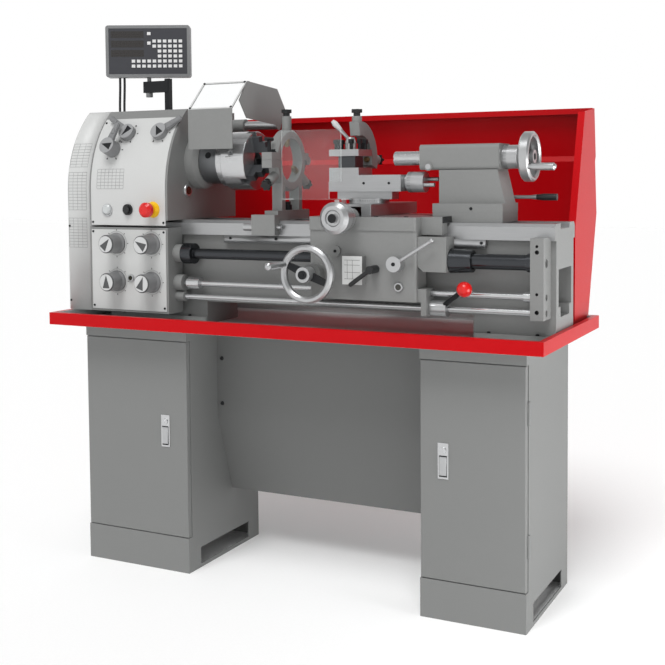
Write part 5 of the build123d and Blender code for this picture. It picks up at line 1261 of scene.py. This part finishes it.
@dataclass
class Carriage:
    """Saddle, apron, slides, tool post, shield and follow rest."""

    wheel: tuple[float, float] = (94.0, 832.0)
    spoke_r: tuple[float, float] = (20.0, 55.5)
    spoke_y: tuple[float, float] = (-215.5, -204.5)
    slide_y: float = -18.0
    saddle_top: float = 972.0
    plate_y: float = -183.0
    plate_left: float = 170.0
    lever_clamp: float = 429.0
    ball: tuple[float, float, float] = (488.0, -165.0, 805.0)
    ball_r: float = 19.5
    dial_cap_y: float = -242.7
    dial_cap_r: float = 12.0
    dial: tuple[float, float, float] = (182.0, -191.5, 972.0)
    slot_z: tuple[float, float] = (1095.5, 1124.5)
    post_top: float = 1142.5
    grip_z: float = 1196.0
    shield_floor: float = 1018.0
    follow_knob_rise: float = 112.5
    follow_knob_y: float = 122.5
    follow_pad_r: float = 61.5
    follow_pad_z: float = 1100.0
    marks: int = 40
    dial_marks_r: float = 32.0
    dial_mark: tuple[float, float, float] = (0.5, 0.7, 9.0)
    top_dial: tuple[float, float] = (296.0, 1057.0)
    top_marks_r: float = 26.0
    top_mark: tuple[float, float, float] = (0.5, 0.6, 9.0)
    swivel: tuple[float, float] = (176.0, 1011.0)
    swivel_marks: int = 72
    swivel_r: float = 52.0
    swivel_mark: tuple[float, float, float] = (0.5, 0.7, 5.0)
    hub_y: float = -226.0
    hub: tuple[float, float] = (11.0, 12.5)
    nut_y: float = -238.0
    nut: tuple[float, float] = (6.5, 2.5)
    nut_edge: float = 0.6
    line: float = 0.8
    line_y: float = -184.3
    line_ends: tuple[float, float] = (184.0, 226.0)
    line_rows: tuple[float, ...] = (868.0, 856.0, 838.0, 822.0)
    line_columns: tuple[float, ...] = (192.0, 206.0)
    gib_screw: tuple[float, float] = (3.5, 1.2)
    gib_screws: tuple[float, ...] = (180.0, 250.0)
    gib_y: float = -60.0
    gib_z: float = 1055.0
    cap_screw: tuple[float, float] = (4.0, 1.6)
    cap_centre: tuple[float, float, float] = (150.0, -166.0, 888.0)
    hub_screw: tuple[float, float] = (5.0, 1.6)
    feed_hub: tuple[float, float, float] = (316.0, -188.0, 861.0)
    saddle_screw: tuple[float, float] = (6.0, 1.5)
    saddle_screws: tuple[float, ...] = (110.0, 250.0, 330.0)
    saddle_screw_y: float = -140.0
    saddle_screw_z: float = 973.0
    wiper_low: tuple[float, float, float] = (418.0, -124.0, 958.5)
    wiper_high: tuple[float, float, float] = (421.0, -68.0, 974.0)
    wiper_edge: float = 0.5

    def dress(self) -> None:
        """Paints the carriage and what it carries."""
        dress("saddle", CASTING, Zone(GROUND_ACROSS, self._saddle_way), edge=1.0)
        dress("apron", CASTING, Zone(FACEPLATE, self._thread_plate), edge=1.0)
        dress("lead_cup", BLUED)
        dress("carriage_handwheel", SATIN, Zone(BLACKED, self._spokes), edge=0.6)
        dress("half_nut_lever", BLACK)
        dress("feed_lever", SATIN)
        clamp = Zone(SATIN, lambda c, n: c.x < self.lever_clamp)
        dress("start_lever", BLACKED, clamp, Zone(RED_GRIP, self._ball), edge=0.5)
        dress("cross_slide", GROUND_ACROSS, edge=1.0)
        dress("cross_dial", SATIN, Zone(BLACKED, self._dial_cap), edge=0.8)
        dress("swivel_base", GROUND, edge=0.8)
        dress("top_slide", GROUND, edge=1.0)
        dress("top_slide_dial", SATIN, edge=0.8)
        bolts = Zone(BLACKED, lambda c, n: c.z > self.post_top)
        # Painted shade: the faces inside the slot take the dark steel.
        dress("tool_post", GROUND, Zone(DARK_STEEL, self._slot_shade), bolts, edge=0.8)
        dress("tool_post_lever", SATIN, Zone(PALE, lambda c, n: c.z > self.grip_z), edge=0.6)
        dress("chip_shield", CLEAR, Zone(CLEAR_EDGE, self._shield_edge), edge=0)
        dress("follow_rest", CASTING, Zone(BLACK, self._follow_knob), Zone(BRONZE, self._follow_pad),
              edge=0.9)

    def _saddle_way(self, centre: Vector, normal: Vector) -> bool:
        """True on the ground top of the saddle."""
        return normal.z > FACING and centre.z > self.saddle_top

    def _thread_plate(self, centre: Vector, normal: Vector) -> bool:
        """True on the front of the thread dial housing."""
        return centre.y < self.plate_y and normal.y < -FACING and centre.x > self.plate_left

    def _dial_cap(self, centre: Vector, normal: Vector) -> bool:
        """True on the cap screw of the cross dial."""
        return centre.y < self.dial_cap_y and abs(centre.x - self.dial[0]) < self.dial_cap_r

    def _spokes(self, centre: Vector, normal: Vector) -> bool:
        """Tells the faces of the handwheel's spokes.

        Args:
            centre: Middle of the face.
            normal: Its direction; not used.

        Returns:
            True on those faces.
        """
        x, z = self.wheel
        inner, outer = self.spoke_r
        front, back = self.spoke_y
        return inner < hypot(centre.x - x, centre.z - z) < outer and front < centre.y < back

    def _ball(self, centre: Vector, normal: Vector) -> bool:
        """True on the start lever's ball."""
        return (centre - Vector(self.ball)).length < self.ball_r

    def _slot_shade(self, centre: Vector, normal: Vector) -> bool:
        """True inside the tool post's slot, where the dark steel is painted shade."""
        return self.slot_z[0] < centre.z < self.slot_z[1]

    def _shield_edge(self, centre: Vector, normal: Vector) -> bool:
        """True on the sawn edges of the shield and its flange."""
        end = abs(normal.x) > FACING
        return end or (abs(normal.z) > FACING and centre.z > self.shield_floor)

    def _follow_knob(self, centre: Vector, normal: Vector) -> bool:
        """True on the follow rest's knobs."""
        return centre.z > AXIS_Z + self.follow_knob_rise or centre.y > self.follow_knob_y

    def _follow_pad(self, centre: Vector, normal: Vector) -> bool:
        """True on the pads of the follow rest's fingers."""
        return axis_distance(centre) < self.follow_pad_r and centre.z > self.follow_pad_z

    def build(self) -> None:
        """Makes graduations, screws, the ruled plate and the way wiper."""
        self._graduations()
        wheel_x, wheel_z = self.wheel
        hub = Shape().disc(at(wheel_x, self.hub_y, wheel_z), FRONT, *self.hub)
        hub.disc(at(wheel_x, self.nut_y, wheel_z), FRONT, *self.nut, sides=HEXAGON)
        hub.done("handwheel_nut", BLACKED, "carriage_handwheel", edge=self.nut_edge)
        self._plate_lines()
        self._screws()
        wipers = Shape().box(at(*self.wiper_low), at(*self.wiper_high))
        wipers.done("way_wipers", BLACK, "carriage", edge=self.wiper_edge)

    def _graduations(self) -> None:
        """Makes the marks round both dials and the swivel base."""
        ring_of_marks("cross_dial_marks", at(*self.dial), FRONT, self.marks, self.dial_marks_r,
                      self.dial_mark, INK, "cross_dial")
        x, z = self.top_dial
        ring_of_marks("top_dial_marks", at(x, self.slide_y, z), RIGHT, self.marks, self.top_marks_r,
                      self.top_mark, INK, "top_slide_dial")
        x, z = self.swivel
        ring_of_marks("swivel_marks", at(x, self.slide_y, z), UP, self.swivel_marks, self.swivel_r,
                      self.swivel_mark, INK, "swivel_base")

    def _plate_lines(self) -> None:
        """Makes the ruled lines of the thread dial's plate, without words."""
        plate = Shape()
        left, right = self.line_ends
        for z in self.line_rows:
            plate.strip([at(left, self.line_y, z), at(right, self.line_y, z)], UP, self.line)
        top, bottom = self.line_rows[0], self.line_rows[-1]
        for x in self.line_columns:
            plate.strip([at(x, self.line_y, top), at(x, self.line_y, bottom)], RIGHT, self.line)
        plate.done("thread_plate_lines", INK, "carriage")

    def _screws(self) -> None:
        """Makes the screws of gib, apron cap, feed lever and saddle."""
        gib = [at(x, self.gib_y, self.gib_z) for x in self.gib_screws]
        saddle = [at(x, self.saddle_screw_y, self.saddle_screw_z) for x in self.saddle_screws]
        for name, size, axis, places, body in (
            ("gib_screws", self.gib_screw, FRONT, gib, "top_slide"),
            ("cap_centre", self.cap_screw, FRONT, [at(*self.cap_centre)], "carriage"),
            ("feed_hub_screw", self.hub_screw, FRONT, [at(*self.feed_hub)], "feed_lever"),
            ("saddle_screws", self.saddle_screw, UP, saddle, "carriage"),
        ):
            parts_on_points(name, screw_head(*size, axis), places, BLACKED, body)


@dataclass
class SteadyRest:
    """Steady rest on the bed."""

    knob_r: float = 118.3
    knob_low: float = 1025.0
    knob_side: float = 60.0
    knob_top: float = 1200.0
    pad_r: float = 57.0
    bolt_half: float = 13.0
    bolt_z: tuple[float, float] = (984.5, 1000.0)
    tee_y: float = -78.0
    tee_z: float = 1138.5
    nut: tuple[float, float, float] = (-75.0, 0.0, 997.5)
    nut_size: tuple[float, float] = (9.0, 9.0)
    nut_edge: float = 0.4

    def dress(self) -> None:
        """Paints both halves, with black knobs and bronze finger pads."""
        for node in ("steady_base", "steady_top"):
            dress(node, CASTING, Zone(BLACK, self._knob), Zone(BRONZE, self._pad), Zone(BLACKED, self._bolt),
                  edge=0.9)

    def _knob(self, centre: Vector, normal: Vector) -> bool:
        """True on the star knobs."""
        beside = abs(centre.y) > self.knob_side or centre.z > self.knob_top
        return axis_distance(centre) > self.knob_r and centre.z > self.knob_low and beside

    def _pad(self, centre: Vector, normal: Vector) -> bool:
        """True on the fingers inside the ring."""
        return axis_distance(centre) < self.pad_r

    def _bolt(self, centre: Vector, normal: Vector) -> bool:
        """Tells the faces of the clamp's bolt and the tee screw.

        Args:
            centre: Middle of the face.
            normal: Its direction; not used.

        Returns:
            True on those faces.
        """
        low, high = self.bolt_z
        clamp = abs(centre.y) < self.bolt_half and low < centre.z < high
        return clamp or (centre.y < self.tee_y and centre.z > self.tee_z)

    def build(self) -> None:
        """Makes the nut over the clamp bolt."""
        nut = Shape().disc(at(*self.nut), UP, *self.nut_size, sides=HEXAGON)
        nut.done("steady_nut", BLACKED, "steady_base", edge=self.nut_edge)


@dataclass
class Tailstock:
    """Tailstock with its quill and handwheel."""

    spoke_r: tuple[float, float] = (17.5, 47.5)
    spoke_x: tuple[float, float] = (590.5, 601.5)
    grip_left: float = 600.0
    dial_x: float = 541.0
    marks: int = 50
    marks_r: float = 29.0
    mark: tuple[float, float, float] = (0.5, 0.6, 9.0)
    screw: tuple[float, float] = (4.0, 1.2)
    screw_place: tuple[float, float, float] = (468.0, -62.0, 992.0)
    lock: tuple[float, float, float] = (352.0, -51.0, 1095.0)
    lock_size: tuple[float, float] = (7.0, 1.0)
    lock_edge: float = 0.3
    nut_x: float = 604.0
    nut_size: tuple[float, float] = (9.0, 6.0)
    nut_edge: float = 0.5

    def dress(self) -> None:
        """Paints the tailstock."""
        dress("tailstock_base", CASTING, edge=1.2)
        dress("tailstock_body", CASTING, edge=1.6)
        dress("quill", TURNED, edge=0.6)
        dress("tail_handwheel", SATIN, Zone(BLACKED, self._spokes), edge=0.6)
        dress("tail_clamp_lever", SATIN, Zone(BLACK, lambda c, n: c.x > self.grip_left), edge=0.5)

    def _spokes(self, centre: Vector, normal: Vector) -> bool:
        """Tells the faces of the handwheel's spokes.

        Args:
            centre: Middle of the face.
            normal: Its direction; not used.

        Returns:
            True on those faces.
        """
        inner, outer = self.spoke_r
        left, right = self.spoke_x
        return inner < axis_distance(centre) < outer and left < centre.x < right

    def build(self) -> None:
        """Makes the dial's marks and the small screws."""
        ring_of_marks("tail_dial_marks", at(self.dial_x, 0.0, AXIS_Z), RIGHT, self.marks, self.marks_r,
                      self.mark, INK, "tail_handwheel")
        head = screw_head(*self.screw, FRONT)
        parts_on_points("tail_screws", head, [at(*self.screw_place)], BLACKED, "tailstock")
        lock = Shape().disc(at(*self.lock), FRONT, *self.lock_size)
        lock.done("quill_lock_face", SATIN, "tailstock", edge=self.lock_edge)
        nut = Shape().disc(at(self.nut_x, 0.0, AXIS_Z), RIGHT, *self.nut_size, sides=HEXAGON)
        nut.done("tail_wheel_nut", BLACKED, "tail_handwheel", edge=self.nut_edge)


@dataclass
class Studio:
    """Floor, light and camera."""

    place: tuple[float, float, float] = (1.37435, -2.65422, 1.07167)
    yaw: float = -0.464612
    pitch: float = -0.0562825
    roll: float = -0.008046
    focal_px: float = 1108.95
    frame_px: float = 665.0
    shift: float = -0.14
    sensor: float = 36.0
    sight: float = 100.0
    sun_way: tuple[float, float, float] = (0.06, -0.52, 0.85)
    sun_strength: float = 2.1
    sun_width: float = 32.0
    side_place: tuple[float, float, float] = (2.2, -0.3, 0.3)
    side_aim: tuple[float, float, float] = (0.6, 0.0, 0.3)
    side_size: float = 1.0
    side_power: float = 24.0
    floor_half: float = 20.0
    sky_start: float = 0.22
    sky_end: float = 0.8
    sky_top: float = 0.35
    side_start: float = 0.25
    sky_side: float = 0.26
    horizon: tuple[float, float] = (0.1, 0.2)

    def build(self) -> None:
        """Makes the floor, the lights and the camera."""
        self._floor()
        self._sun()
        self._side()
        self._sky()
        bpy.context.scene.view_settings.view_transform = "Standard"
        self._camera()

    def _sun(self) -> None:
        """Makes the main light, wide enough for soft shadows."""
        data = bpy.data.lights.new("main", "SUN")
        data.energy = self.sun_strength
        data.angle = radians(self.sun_width)
        lamp = bpy.data.objects.new("main", data)
        lamp.rotation_euler = Vector(self.sun_way).to_track_quat("Z", "Y").to_euler()
        bpy.context.scene.collection.objects.link(lamp)

    def _side(self) -> None:
        """Makes the square soft light on the right, low down."""
        data = bpy.data.lights.new("side", "AREA")
        data.size = self.side_size
        data.energy = self.side_power
        lamp = bpy.data.objects.new("side", data)
        lamp.location = self.side_place
        way = Vector(self.side_aim) - Vector(self.side_place)
        lamp.rotation_euler = way.to_track_quat("-Z", "Y").to_euler()
        bpy.context.scene.collection.objects.link(lamp)

    def _sky(self) -> None:
        """Makes the white surround, darker overhead and high on the right, as tones for metal to mirror."""
        world = bpy.data.worlds.new("white_studio")
        world.use_nodes = True
        tree = world.node_tree
        back = tree.nodes["Background"]
        way = add(tree, "ShaderNodeTexCoord")
        height = add(tree, "ShaderNodeSeparateXYZ", {0: way.outputs["Generated"]})
        overhead = self._ramp(tree, height.outputs["Z"], (self.sky_start, self.sky_end),
                              (1.0, self.sky_top))
        right = self._ramp(tree, height.outputs["X"], (self.side_start, 1.0), (0.0, 1.0 - self.sky_side))
        above = self._ramp(tree, height.outputs["Z"], self.horizon, (0.0, 1.0))
        shade = add(tree, "ShaderNodeMath", {0: right, 1: above}, operation="MULTIPLY")
        rest = add(tree, "ShaderNodeMath", {1: shade.outputs[0]}, operation="SUBTRACT")
        rest.inputs[0].default_value = 1.0
        both = add(tree, "ShaderNodeMath", {0: overhead, 1: rest.outputs[0]}, operation="MULTIPLY")
        back.inputs["Color"].default_value = linear("#FFFFFF")
        tree.links.new(both.outputs[0], back.inputs["Strength"])
        bpy.context.scene.world = world

    @staticmethod
    def _ramp(tree: bpy.types.NodeTree, value: bpy.types.NodeSocket, start: tuple[float, float],
              end: tuple[float, float]) -> bpy.types.NodeSocket:
        """Adds a smooth ramp from one range of values to another.

        Args:
            tree: Node tree that takes the ramp.
            value: Socket that drives it.
            start: Value where it begins and value where it ends.
            end: Results at those two values.

        Returns:
            The socket with the result.
        """
        node = add(tree, "ShaderNodeMapRange", {"Value": value}, interpolation_type="SMOOTHSTEP")
        for name, number in zip(("From Min", "From Max", "To Min", "To Max"), (*start, *end)):
            node.inputs[name].default_value = number
        return node.outputs["Result"]

    def _floor(self) -> None:
        """Makes the pale floor."""
        shape = bmesh.new()
        bmesh.ops.create_grid(shape, x_segments=1, y_segments=1, size=self.floor_half)
        mesh = bpy.data.meshes.new("floor")
        shape.to_mesh(mesh)
        shape.free()
        mesh.materials.append(FLOOR.material())
        floor = bpy.data.objects.new("floor", mesh)
        bpy.context.scene.collection.objects.link(floor)

    def _camera(self) -> None:
        """Sets the camera at the photograph's viewing place."""
        data = bpy.data.cameras.new("camera")
        data.sensor_width = self.sensor
        data.lens = self.focal_px / self.frame_px * data.sensor_width
        data.shift_y = self.shift
        data.clip_end = self.sight
        ahead = Vector((sin(self.yaw) * cos(self.pitch), cos(self.yaw) * cos(self.pitch), sin(self.pitch)))
        right = Vector((cos(self.yaw), -sin(self.yaw), 0.0))
        up = right.cross(ahead)
        across = right * cos(self.roll) + up * sin(self.roll)
        upright = up * cos(self.roll) - right * sin(self.roll)
        turn = Matrix((across, upright, -ahead)).transposed().to_4x4()
        camera = bpy.data.objects.new("camera", data)
        camera.matrix_world = Matrix.Translation(self.place) @ turn
        bpy.context.scene.collection.objects.link(camera)
        bpy.context.scene.camera = camera


def main() -> None:
    """Dresses and builds every sub-assembly, then the studio."""
    groups = (Stand, Headstock, Readout, Spindle, BedAndRods, Carriage, SteadyRest, Tailstock)
    for group in [kind() for kind in groups]:
        group.dress()
        group.build()
        log.info("finished %s", type(group).__name__)
    Studio().build()


if __name__ == "__main__":
    logging.basicConfig(level=logging.INFO)
    main()
